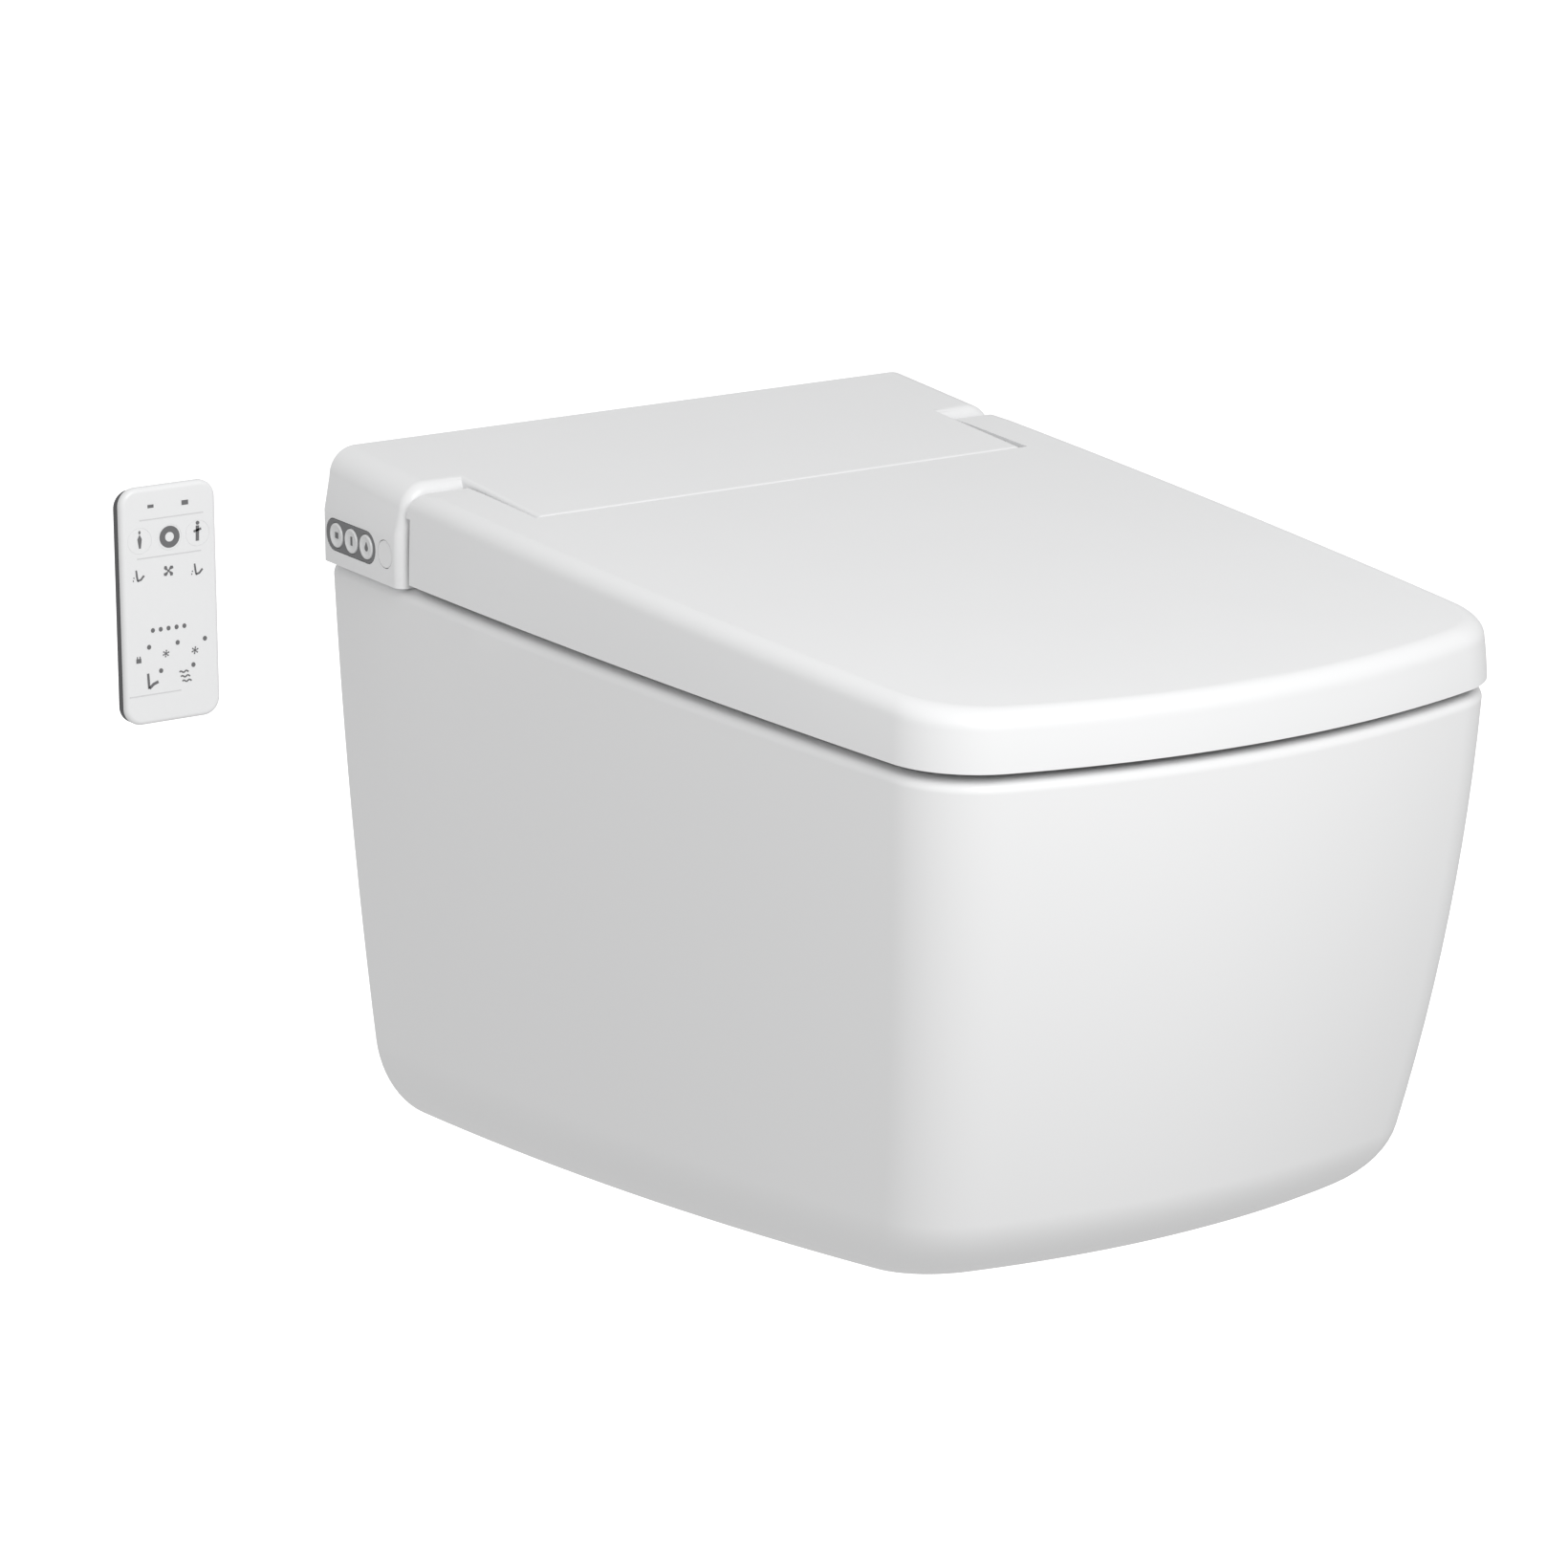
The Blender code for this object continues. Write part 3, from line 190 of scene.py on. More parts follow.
# ---- materials ----
def new_material(name, roughness, metallic=0.0, coat=0.0, coat_roughness=0.1):
    made = bpy.data.materials.new(name)
    made.use_nodes = True
    shader = made.node_tree.nodes["Principled BSDF"]
    shader.inputs["Roughness"].default_value = roughness
    shader.inputs["Metallic"].default_value = metallic
    shader.inputs["Coat Weight"].default_value = coat
    shader.inputs["Coat Roughness"].default_value = coat_roughness
    shader.inputs["IOR"].default_value = 1.5
    return made, shader


def noise(tree, scale, detail=3.0, stretch=(1, 1, 1)):
    """Noise in the part's own frame, finer along the axes with a large stretch."""
    place = tree.nodes.new("ShaderNodeTexCoord")
    mapping = tree.nodes.new("ShaderNodeMapping")
    mapping.inputs["Scale"].default_value = stretch
    texture = tree.nodes.new("ShaderNodeTexNoise")
    texture.inputs["Scale"].default_value = scale
    texture.inputs["Detail"].default_value = detail
    tree.links.new(place.outputs["Object"], mapping.inputs["Vector"])
    tree.links.new(mapping.outputs["Vector"], texture.inputs["Vector"])
    return texture.outputs["Fac"]


def tint(tree, factor, low, high):
    """Colour between low and high by a factor around one half."""
    ramp = tree.nodes.new("ShaderNodeValToRGB")
    ramp.color_ramp.elements[0].position = 0.1
    ramp.color_ramp.elements[0].color = (*low, 1.0)
    ramp.color_ramp.elements[1].position = 0.9
    ramp.color_ramp.elements[1].color = (*high, 1.0)
    tree.links.new(factor, ramp.inputs["Fac"])
    return ramp.outputs["Color"]


def spread(tree, factor, low, high):
    """Number between low and high by a factor around one half."""
    change = tree.nodes.new("ShaderNodeMapRange")
    change.inputs["From Min"].default_value = 0.1
    change.inputs["From Max"].default_value = 0.9
    change.inputs["To Min"].default_value = low
    change.inputs["To Max"].default_value = high
    tree.links.new(factor, change.inputs["Value"])
    return change.outputs["Result"]


def relief(tree, shader, height, depth, strength=1.0, below=None):
    """Bump of the given depth in metres; below is a relief it is added to."""
    bump = tree.nodes.new("ShaderNodeBump")
    bump.inputs["Strength"].default_value = strength
    bump.inputs["Distance"].default_value = depth
    tree.links.new(height, bump.inputs["Height"])
    if below is not None:
        tree.links.new(below, bump.inputs["Normal"])
    tree.links.new(bump.outputs["Normal"], shader.inputs["Normal"])
    return bump.outputs["Normal"]


def scaled(colour, share):
    return tuple(value * share for value in colour)


def moulded(name, colour, roughness, grain=900.0, depth=0.00003, coat=0.0, mottle=0.985):
    """Moulded plastic or rubber: faint mottling, uneven gloss and a fine spark-eroded grain."""
    made, shader = new_material(name, roughness, coat=coat)
    tree = made.node_tree
    clouds = noise(tree, 9.0)
    fine = noise(tree, grain, detail=2.0)
    colours = tint(tree, clouds, scaled(colour, mottle), colour)
    tree.links.new(colours, shader.inputs["Base Color"])
    gloss = spread(tree, noise(tree, 35.0), roughness * 0.88, roughness * 1.12)
    tree.links.new(gloss, shader.inputs["Roughness"])
    relief(tree, shader, fine, depth, strength=0.1)
    return made


def glaze():
    """Sanitary glaze: clear coat over white, softly wavy, with a faint orange peel."""
    made, shader = new_material("ceramic_glaze", 0.30, coat=0.45, coat_roughness=0.14)
    tree = made.node_tree
    white = (0.900, 0.902, 0.905)
    colours = tint(tree, noise(tree, 5.0), scaled(white, 0.99), white)
    tree.links.new(colours, shader.inputs["Base Color"])
    tree.links.new(spread(tree, noise(tree, 14.0), 0.27, 0.33), shader.inputs["Roughness"])
    waves = relief(tree, shader, noise(tree, 5.0, detail=0.0), 0.001, strength=0.06)
    relief(tree, shader, noise(tree, 150.0, detail=0.0), 0.00002, strength=0.1, below=waves)
    return made


def machined_steel():
    made, shader = new_material("machined_steel", 0.3, metallic=1.0)
    tree = made.node_tree
    lines = noise(tree, 40.0, detail=4.0, stretch=(1, 1, 40))
    tree.links.new(tint(tree, lines, (0.56, 0.56, 0.57), (0.68, 0.68, 0.69)), shader.inputs["Base Color"])
    tree.links.new(spread(tree, lines, 0.24, 0.40), shader.inputs["Roughness"])
    relief(tree, shader, lines, 0.00005, strength=0.3)
    return made


def striped(name, colour, between, width, roughness, metallic):
    """Wavy strips of one finish on a film of another, repeated about every four widths."""
    made, shader = new_material(name, roughness, metallic=metallic)
    tree = made.node_tree
    place = tree.nodes.new("ShaderNodeTexCoord")
    wave = tree.nodes.new("ShaderNodeTexWave")
    wave.inputs["Scale"].default_value = 1.0 / (4 * math.pi * width)
    wave.inputs["Distortion"].default_value = 2.5
    wave.inputs["Detail"].default_value = 0.0
    tree.links.new(place.outputs["Object"], wave.inputs["Vector"])
    tree.links.new(tint(tree, wave.outputs["Fac"], between, colour), shader.inputs["Base Color"])
    gloss = spread(tree, noise(tree, 120.0), roughness * 0.85, roughness * 1.15)
    tree.links.new(gloss, shader.inputs["Roughness"])
    relief(tree, shader, wave.outputs["Fac"], 0.00004, strength=0.4)
    return made


WHITE = (0.885, 0.888, 0.892)
FINISHES = {
    "ceramic": glaze(),
    "white_plastic": moulded("white_gloss_plastic", WHITE, 0.38, coat=0.08),
    "inner_plastic": moulded("inner_plastic", (0.62, 0.63, 0.64), 0.50, grain=600.0),
    "dark_plastic": moulded("dark_satin_plastic", (0.085, 0.085, 0.09), 0.42, mottle=0.9),
    "grey_plastic": moulded("grey_satin_plastic", (0.19, 0.192, 0.198), 0.45, mottle=0.94),
    "light_plastic": moulded("light_satin_plastic", (0.80, 0.805, 0.81), 0.32),
    "rubber": moulded("soft_rubber", (0.42, 0.42, 0.425), 0.80, grain=400.0, depth=0.00006, mottle=0.93),
    "steel": machined_steel(),
    "board": striped("circuit_board", (0.05, 0.20, 0.09), (0.03, 0.13, 0.06), 0.0012, 0.5, 0.0),
    "foil": striped("heater_foil", (0.78, 0.48, 0.28), (0.45, 0.30, 0.18), 0.0022, 0.35, 0.9),
}
PRINT = moulded("printed_symbol", (0.17, 0.17, 0.175), 0.55, mottle=0.92)
FAINT_PRINT = moulded("faint_printed_line", (0.72, 0.72, 0.725), 0.5)
PALE_LENS = moulded("receiver_cover", (0.90, 0.902, 0.905), 0.18, coat=0.5)


# ---- mesh helpers ----
def solid(name, mesh_data):
    """A shape with its faces turned outwards, linked to the scene."""
    bmesh.ops.recalc_face_normals(mesh_data, faces=mesh_data.faces)
    if mesh_data.calc_volume(signed=True) < 0:
        bmesh.ops.reverse_faces(mesh_data, faces=mesh_data.faces)
    mesh = bpy.data.meshes.new(name)
    mesh_data.to_mesh(mesh)
    mesh_data.free()
    made = bpy.data.objects.new(name, mesh)
    bpy.context.scene.collection.objects.link(made)
    return made


def add_skin(mesh_data, rings):
    """Adds the faces between rings of equal length and gives back the rings' mesh points."""
    rows = [[mesh_data.verts.new(point) for point in ring] for ring in rings]
    count = len(rows[0])
    for low, high in zip(rows, rows[1:]):
        for i in range(count):
            j = (i + 1) % count
            mesh_data.faces.new((low[i], low[j], high[j], high[i]))
    return rows


def add_prism(mesh_data, rings):
    """Adds the skin through the rings and one flat face at each end."""
    rows = add_skin(mesh_data, rings)
    mesh_data.faces.new(rows[0])
    mesh_data.faces.new(rows[-1])


def loft(name, rings):
    """Closed skin through rings of equal length; each cap is strips between mirrored points."""
    mesh_data = bmesh.new()
    rows = add_skin(mesh_data, rings)
    count = len(rows[0])
    for row in (rows[0], rows[-1]):
        for i in range((count - 1) // 2):
            strip = (row[i], row[i + 1], row[count - 2 - i], row[count - 1 - i])
            mesh_data.faces.new(dict.fromkeys(strip))
    return solid(name, mesh_data)


def disc_loft(name, rings):
    """Closed skin through rings of equal length, with one flat face at each end."""
    mesh_data = bmesh.new()
    add_prism(mesh_data, rings)
    return solid(name, mesh_data)


def box(name, low, high):
    mesh_data = bmesh.new()
    bmesh.ops.create_cube(mesh_data, size=1.0)
    bmesh.ops.scale(mesh_data, vec=Vector(high) - Vector(low), verts=mesh_data.verts)
    bmesh.ops.translate(mesh_data, vec=(Vector(high) + Vector(low)) / 2, verts=mesh_data.verts)
    return solid(name, mesh_data)


def rod(name, start, end, radius, segments=ROUND):
    start = Vector(start)
    along = Vector(end) - start
    mesh_data = bmesh.new()
    bmesh.ops.create_cone(
        mesh_data, cap_ends=True, segments=segments, radius1=radius, radius2=radius, depth=along.length
    )
    turn = Vector((0, 0, 1)).rotation_difference(along).to_matrix().to_4x4()
    mesh_data.transform(Matrix.Translation(start + along / 2) @ turn)
    return solid(name, mesh_data)


def hinge_rod(name, half, radius, segments=ROUND):
    """Rod about the hinge axis, reaching equally far to both sides."""
    return rod(name, (-half, HINGE_Y, HINGE_Z), (half, HINGE_Y, HINGE_Z), radius, segments)


def smooth_path(points, steps):
    """Catmull-Rom points through the given ones, which may have any number of values."""
    known = [list(point) for point in points]
    first = [2 * a - b for a, b in zip(known[0], known[1])]
    last = [2 * a - b for a, b in zip(known[-1], known[-2])]
    known = [first, *known, last]
    path = []
    for i in range(1, len(known) - 2):
        for k in range(steps):
            t = k / steps
            path.append([spline(*values, t) for values in zip(*known[i - 1 : i + 3])])
    path.append(known[-2])
    return path


def spline(a, b, c, d, t):
    """Value at t, 0 to 1, of the smooth curve from b to c whose neighbours are a and d."""
    start, middle, end = c - a, 2 * a - 5 * b + 4 * c - d, 3 * b - a - 3 * c + d
    return (2 * b + start * t + middle * t**2 + end * t**3) / 2


def tube(name, points, radius):
    """Round tube along a smooth path, as rings square to it."""
    path = [Vector(point) for point in smooth_path(points, PATH_STEPS)]
    across = Vector((1, 0, 0))
    rings = []
    for i, point in enumerate(path):
        along = (path[min(i + 1, len(path) - 1)] - path[max(i - 1, 0)]).normalized()
        up = along.cross(across).normalized()
        turns = [2 * math.pi * k / TUBE_SIDES for k in range(TUBE_SIDES)]
        rings.append([point + radius * (math.cos(t) * across + math.sin(t) * up) for t in turns])
    return disc_loft(name, rings)


def apply_modifiers(target):
    graph = bpy.context.evaluated_depsgraph_get()
    mesh = bpy.data.meshes.new_from_object(target.evaluated_get(graph))
    target.modifiers.clear()
    target.data = mesh
    return target


def combine(target, operation, *others):
    for other in others:
        change = target.modifiers.new(operation.lower(), "BOOLEAN")
        change.operation = operation
        change.solver = "EXACT"
        change.object = other
    apply_modifiers(target)
    for other in others:
        bpy.data.objects.remove(other, do_unlink=True)
    return target


def cut(target, *others):
    return combine(target, "DIFFERENCE", *others)


def join(target, *others):
    return combine(target, "UNION", *others)


def soften(target, width, angle=50.0, segments=3):
    """Small rounding on every edge sharper than the angle."""
    change = target.modifiers.new("soften", "BEVEL")
    change.width = width
    change.segments = segments
    change.limit_method = "ANGLE"
    change.angle_limit = math.radians(angle)
    change.use_clamp_overlap = True
    return apply_modifiers(target)


def shade(mesh):
    """Smooth shading that stops at the creases."""
    mesh.shade_smooth()
    mesh.set_sharp_from_angle(angle=math.radians(CREASE))


def finish_piece(made, name, body, slot, *nodes, material=None):
    """Names a piece, gives it a material, its slot's own by default, and puts it in the nodes' place."""
    shade(made.data)
    weighting = made.modifiers.new("even_shading", "WEIGHTED_NORMAL")
    weighting.keep_sharp = True
    apply_modifiers(made)
    made.name = name
    made.data.name = name
    made.data.materials.clear()
    made.data.materials.append(material or FINISHES[slot])
    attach(made, body)
    if nodes:
        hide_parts(*nodes)
    return made


# ---- plan outlines ----
def side_normal(depth):
    slope = (RIM_SWELL - 2 * RIM_TAPER * depth / LENGTH) / LENGTH
    return Vector((1.0, -slope)).normalized()


def front_normal(x):
    return Vector((2 * FRONT_BOW * x / BOW_X**2, 1.0)).normalized()


def half_width(depth):
    t = depth / LENGTH
    return RIM_HALF + RIM_SWELL * t - RIM_TAPER * t * t


def front_depth(x):
    return LENGTH - FRONT_BOW * (x / BOW_X) ** 2


def corner():
    """Where the round corner leaves the side and meets the front: its centre, depth and x."""
    side_depth = LENGTH - CORNER_R
    front_x = RIM_HALF - CORNER_R
    for _ in range(40):
        side, front = side_normal(side_depth), front_normal(front_x)
        centre_x = half_width(side_depth) - CORNER_R * side.x
        front_x = centre_x + CORNER_R * front.x
        centre_depth = front_depth(front_x) - CORNER_R * front.y
        side_depth = centre_depth + CORNER_R * side.y
    return centre_x, centre_depth, side_depth, front_x


def rim_outline(rear):
    """(x, y) points from the left rear, round the front, to the right rear."""
    centre_x, centre_depth, side_depth, front_x = corner()
    right = []
    for k in range(SIDE_STEPS):
        depth = rear + (side_depth - rear) * k / SIDE_STEPS
        right.append((half_width(depth), -depth))
    side, front = side_normal(side_depth), front_normal(front_x)
    start, end = math.atan2(side.y, side.x), math.atan2(front.y, front.x)
    for k in range(CORNER_STEPS):
        angle = start + (end - start) * k / CORNER_STEPS
        right.append((centre_x + CORNER_R * math.cos(angle), -centre_depth - CORNER_R * math.sin(angle)))
    for k in range(FRONT_STEPS):
        x = front_x * (1 - k / FRONT_STEPS)
        right.append((x, -front_depth(x)))
    left = [(-x, y) for x, y in right]
    return left + [(0.0, -LENGTH)] + right[::-1]


def shrink(outline, side, front):
    return [(x * (1 - side / RIM_HALF), y * (1 - front / LENGTH)) for x, y in outline]


def inset_plan(rear, inset):
    """The rim's outline moved in by inset and cut off straight at the rear depth."""
    return shrink(rim_outline(rear / (1 - inset / LENGTH)), inset, inset)


def egg(rear, front, half, steps=96, power=2.3):
    """Closed superellipse outline whose points pair up left and right."""
    centre, reach = -(rear + front) / 2, (front - rear) / 2
    points = []
    for k in range(steps):
        angle = 2 * math.pi * (k + 0.5) / steps - math.pi / 2
        c, s = math.cos(angle), math.sin(angle)
        x = -half * math.copysign(abs(s) ** (2 / power), s)
        points.append((x, centre + reach * math.copysign(abs(c) ** (2 / power), c)))
    return points[steps // 4 :] + points[: steps // 4]


def quarter(radius, steps=EDGE_STEPS):
    """(inset, drop) pairs round a quarter circle, from the flat face to the side."""
    pairs = []
    for k in range(steps + 1):
        angle = math.radians(90.0 * k / steps)
        pairs.append((radius * (1 - math.sin(angle)), radius * (1 - math.cos(angle))))
    return pairs


# ---- bowl ----
CURL_START = 1 - BOTTOM_R / ((WALL_HEIGHT + TIP_HEIGHT) / 2)


def bottom_curl(level):
    """How far the rounded bottom edge has turned in at this level, 0 to 1."""
    if level <= CURL_START:
        return 0.0
    return 1 - math.sqrt(max(0.0, 1 - ((level - CURL_START) / (1 - CURL_START)) ** 2))


def ceramic_ring(level, inset=0.0, rear=0.0):
    """Ring of the bowl's outside at a level from 0, the rim, to 1, the underside."""
    curl = bottom_curl(level)
    front = FRONT_DRAW[0] * level + FRONT_DRAW[1] * level**2 + FRONT_CURL * curl + inset
    ring = []
    for x, y in rim_outline(0.0):
        share = -y / LENGTH
        curled = (SIDE_CURL - SIDE_CURL_LOSS * share) * curl
        side = SIDE_DRAW[0] * level + SIDE_DRAW[1] * level**2 + curled + inset
        height = WALL_HEIGHT + (TIP_HEIGHT - WALL_HEIGHT) * share + 4 * BELLY * share * (1 - share)
        ring.append((x * (1 - side / RIM_HALF), y * (1 - front / LENGTH), RIM - level * height))
    ring[0] = (ring[0][0], rear, ring[0][2])
    ring[-1] = (ring[-1][0], rear, ring[-1][2])
    return ring


def bowl_rings():
    rings = [ceramic_ring(drop / WALL_HEIGHT, inset) for inset, drop in quarter(RIM_EDGE_R)]
    first = RIM_EDGE_R / WALL_HEIGHT
    wall_steps, curl_steps = 12, 16
    for k in range(1, wall_steps + 1):
        rings.append(ceramic_ring(first + (CURL_START - first) * k / wall_steps))
    for k in range(1, curl_steps + 1):
        share = math.sin(math.radians(90.0 * k / curl_steps))
        rings.append(ceramic_ring(CURL_START + (1 - CURL_START) * share))
    return rings


# height, depths of the rear and front ends, half width
BASIN_LEVELS = (
    (RIM, 0.165, 0.552, 0.130),
    (RIM - 0.045, 0.172, 0.545, 0.124),
    (RIM - 0.100, 0.185, 0.470, 0.100),
    (RIM - 0.145, 0.200, 0.395, 0.070),
    (RIM - 0.190, 0.210, 0.360, 0.052),
    (RIM - 0.238, 0.238, 0.330, 0.036),
)


def basin(name, extra, open_top):
    """The basin's inside grown by extra; an open one flares at the rim and ends above it."""
    sections = [(section, extra) for section in smooth_path(BASIN_LEVELS, PATH_STEPS)]
    if open_top:
        mouth = BASIN_LEVELS[0][1:]
        tops = [((RIM - drop, *mouth), extra + grown) for grown, drop in quarter(BASIN_EDGE_R)]
        above = ((RIM + 0.005, *mouth), extra + BASIN_EDGE_R)
        sections = [above, *tops, *sections[1:]]
    lowest = sections[-1][0]
    sections[-1] = ((lowest[0] - extra, *lowest[1:]), extra)
    rings = []
    for (z, rear, front, half), grown in sections:
        rings.append([(x, y, z) for x, y in egg(rear - grown, front + grown, half + grown)])
    return loft(name, rings)


# middle line of the trap, from the basin to the waste pipe
TRAP_PATH = (
    (0, -0.292, -0.125),
    (0, -0.268, -0.165),
    (0, -0.225, -0.184),
    (0, -0.180, -0.170),
    (0, -0.150, -0.122),
    (0, -0.118, -0.082),
    (0, -0.080, -0.078),
    (0, -0.045, -0.094),
    (0, -0.020, -0.100),
    (0, -0.005, -0.100),
)


def wall_hollow():
    """Room between the outside wall and the basin, open at the back."""
    levels = (DECK / WALL_HEIGHT, 0.3, 0.6, 0.82, 0.88, 0.93, 0.955)
    hollow = loft("wall_hollow", [ceramic_ring(level, CERAMIC_WALL, rear=0.02) for level in levels])
    half = POCKET_HALF + INNER_WALL
    return cut(
        hollow,
        basin("basin_block", INNER_WALL, False),
        box("pocket_block", (-half, -0.190, RIM - 0.040), (half, -0.092, RIM)),
        tube("trap_block", TRAP_PATH, TRAP_R + INNER_WALL),
        box("wall_web", (-WEB_X, -WEB_DEPTH, -0.172), (WEB_X, 0.03, RIM)),
        rod("waste_boss", (0, -0.055, WASTE_Z), (0, PAST, WASTE_Z), WASTE_R + INNER_WALL),
        rod("flush_block", (0, CHANNEL_END, CHANNEL_Z), (0, PAST, CHANNEL_Z), 0.036),
    )


def make_bowl():
    bowl = loft("bowl", bowl_rings())
    cut(
        bowl,
        wall_hollow(),
        basin("basin_cavity", 0.0, True),
        box("nozzle_pocket", (-POCKET_HALF, -0.200, RIM - 0.022), (POCKET_HALF, -0.105, RIM + PAST)),
        tube("trap_bore", TRAP_PATH, TRAP_R),
        rod("waste_bore", (0, -0.032, WASTE_Z), (0, PAST, WASTE_Z), WASTE_R),
        rod("flush_bore", (0, -0.050, FLUSH_Z), (0, PAST, FLUSH_Z), FLUSH_R),
        rod("flush_channel", (0, CHANNEL_END, CHANNEL_Z), (0, -0.04, CHANNEL_Z), CHANNEL_R),
        *[rod("stud_bore", (x, -0.04, 0), (x, PAST, 0), STUD_BORE_R) for x in (-STUD_X, STUD_X)],
        *[rod("deck_bore", (x, BOLT_Y, 0.03), (x, BOLT_Y, 0.1), BOLT_BORE_R) for x in (-BOLT_X, BOLT_X)],
    )
    finish_piece(bowl, "glazed_bowl", "base", "ceramic", "ceramic_bowl")


# ---- bidet unit ----
def housing_ring(depth, half, radius, bottom, drop=0.0, lean=0.0):
    """Section of the housing at a depth from the wall: leaning sides and rounded upper corners."""
    top = RIM + HOUSING_TOP - HOUSING_FALL * depth / BLOCK_DEPTH - drop
    right = [(half, bottom), (half, LEAN_START)]
    for inset, below in reversed(quarter(radius, 10)):
        right.append((half - lean - inset, top - below))
    left = [(-x, z) for x, z in right]
    return [(x, -depth, z) for x, z in left + right[::-1]]


def housing_part(name, rear, front, half, radius, edge, lean=0.0):
    """Length of the housing with its front edge rounded by the given radius."""
    least_radius = 0.0005
    rings = [housing_ring(rear, half, radius, HOUSING_BOTTOM, lean=lean)]
    for inset, behind in reversed(quarter(edge)):
        inner = max(radius - inset, least_radius)
        rings.append(housing_ring(front - behind, half - inset, inner, HOUSING_BOTTOM, inset, lean))
    return loft(name, rings)


def capsule(name, low_y, high_y, z, radius, x_from, x_to, edge=0.0):
    """Slab with round ends, lying along Y, extruded along X, its first face rounded by edge."""
    rings = []
    pairs = [(x_from, 0.0)] if edge == 0.0 else [(x_from + d, i) for i, d in quarter(edge, 4)]
    for x, inset in [*pairs, (x_to, 0.0)]:
        ring = []
        for k in range(ROUND):
            angle = 2 * math.pi * (k + 0.5) / ROUND
            end = high_y - radius if math.cos(angle) > 0 else low_y + radius
            reach = radius - inset
            ring.append((x, end + reach * math.cos(angle), z + reach * math.sin(angle)))
        rings.append(ring)
    return loft(name, rings)


def housing_inside():
    """Hollow of the wings and the block, open below."""
    floor = RIM - PAST
    wings = [
        housing_ring(depth, HOUSING_HALF - SHELL, HOUSING_R - SHELL, floor, SHELL, HOUSING_LEAN)
        for depth in (SHELL, WING_DEPTH - 2 * SHELL)
    ]
    block = [
        housing_ring(depth, BLOCK_HALF - SHELL, BLOCK_R - 0.001, floor, SHELL)
        for depth in (BLOCK_REAR, BLOCK_DEPTH - SHELL)
    ]
    return join(loft("wing_inside", wings), loft("block_inside", block))


def wall_hole(name, centre, radius):
    """Cutter through the housing's rear wall at (x, z)."""
    x, z = centre
    return rod(name, (x, -0.02, z), (x, 0.02, z), radius)


def make_housing():
    shell = housing_part(
        "housing", HOUSING_REAR, WING_DEPTH, HOUSING_HALF, HOUSING_R, WING_EDGE_R, HOUSING_LEAN
    )
    join(shell, housing_part("housing_block", BLOCK_REAR, BLOCK_DEPTH, BLOCK_HALF, BLOCK_R, BLOCK_EDGE_R))
    start, end = -0.200, -0.185  # along X through the left wall
    cut(
        shell,
        housing_inside(),
        capsule("bezel_hole", BEZEL[0] - GAP, BEZEL[1] + GAP, BUTTON_Z, BEZEL_R + GAP, start, end),
        rod("receiver_hole", (start, RECEIVER_Y, BUTTON_Z), (end, RECEIVER_Y, BUTTON_Z), RECEIVER_R + GAP),
        hinge_rod("pin_holes", 0.17, PIN_R + GAP),
        wall_hole("mains_hole", MAINS, MAINS_HOLE_R),
        wall_hole("water_hole", WATER, WATER_HOLE_R),
        box("guide_notch", (-GUIDE_HALF, -0.18, RIM - PAST), (GUIDE_HALF, -0.15, RIM + 0.0062)),
    )
    soften(shell, 0.0004, angle=60.0, segments=2)
    finish_piece(shell, "unit_housing", "base", "white_plastic", "rear_housing")


# ---- buttons on the unit ----
BUTTONS = (("stop_button", -0.0142), ("rear_wash_button", -0.0309), ("front_wash_button", -0.0476))
FACE_X = -HOUSING_HALF


def turned_x(name, centre, profile):
    """Turned piece about an axis along X: profile is (distance along +X, radius) from the outside in."""
    y, z = centre
    rings = []
    for x, radius in profile:
        turns = [2 * math.pi * k / ROUND for k in range(ROUND)]
        rings.append([(x, y + radius * math.cos(t), z + radius * math.sin(t)) for t in turns])
    return disc_loft(name, rings)


def prism_x(name, outline, x_from, x_to):
    """Prism along X over a (y, z) outline."""
    return disc_loft(name, [[(x, y, z) for y, z in outline] for x in (x_from, x_to)])


def rectangle(centre, width, height):
    a, b = centre
    w, h = width / 2, height / 2
    return [(a - w, b - h), (a + w, b - h), (a + w, b + h), (a - w, b + h)]


def make_button(name, y):
    """Dished round key with a raised ring, a flange behind the bezel and a stem."""
    proud = FACE_X - 0.0008
    flange_start, flange_end, stem_end = FACE_X + 0.0045, FACE_X + 0.0060, FACE_X + 0.0130
    flange_r, stem_r = 0.0080, 0.0025
    profile = (
        (proud + 0.0008, 0.0030),
        (proud + 0.0007, 0.0042),
        (proud + 0.0003, 0.0052),
        (proud, 0.0058),
        (proud, 0.0062),
        (proud + 0.0002, 0.0067),
        (proud + 0.0007, BUTTON_R),
        (flange_start, BUTTON_R),
        (flange_start, flange_r),
        (flange_end, flange_r),
        (flange_end, stem_r),
        (stem_end, stem_r),
    )
    made = turned_x(name, (y, BUTTON_Z), profile)
    finish_piece(made, name + "_cap", name, "light_plastic", name)


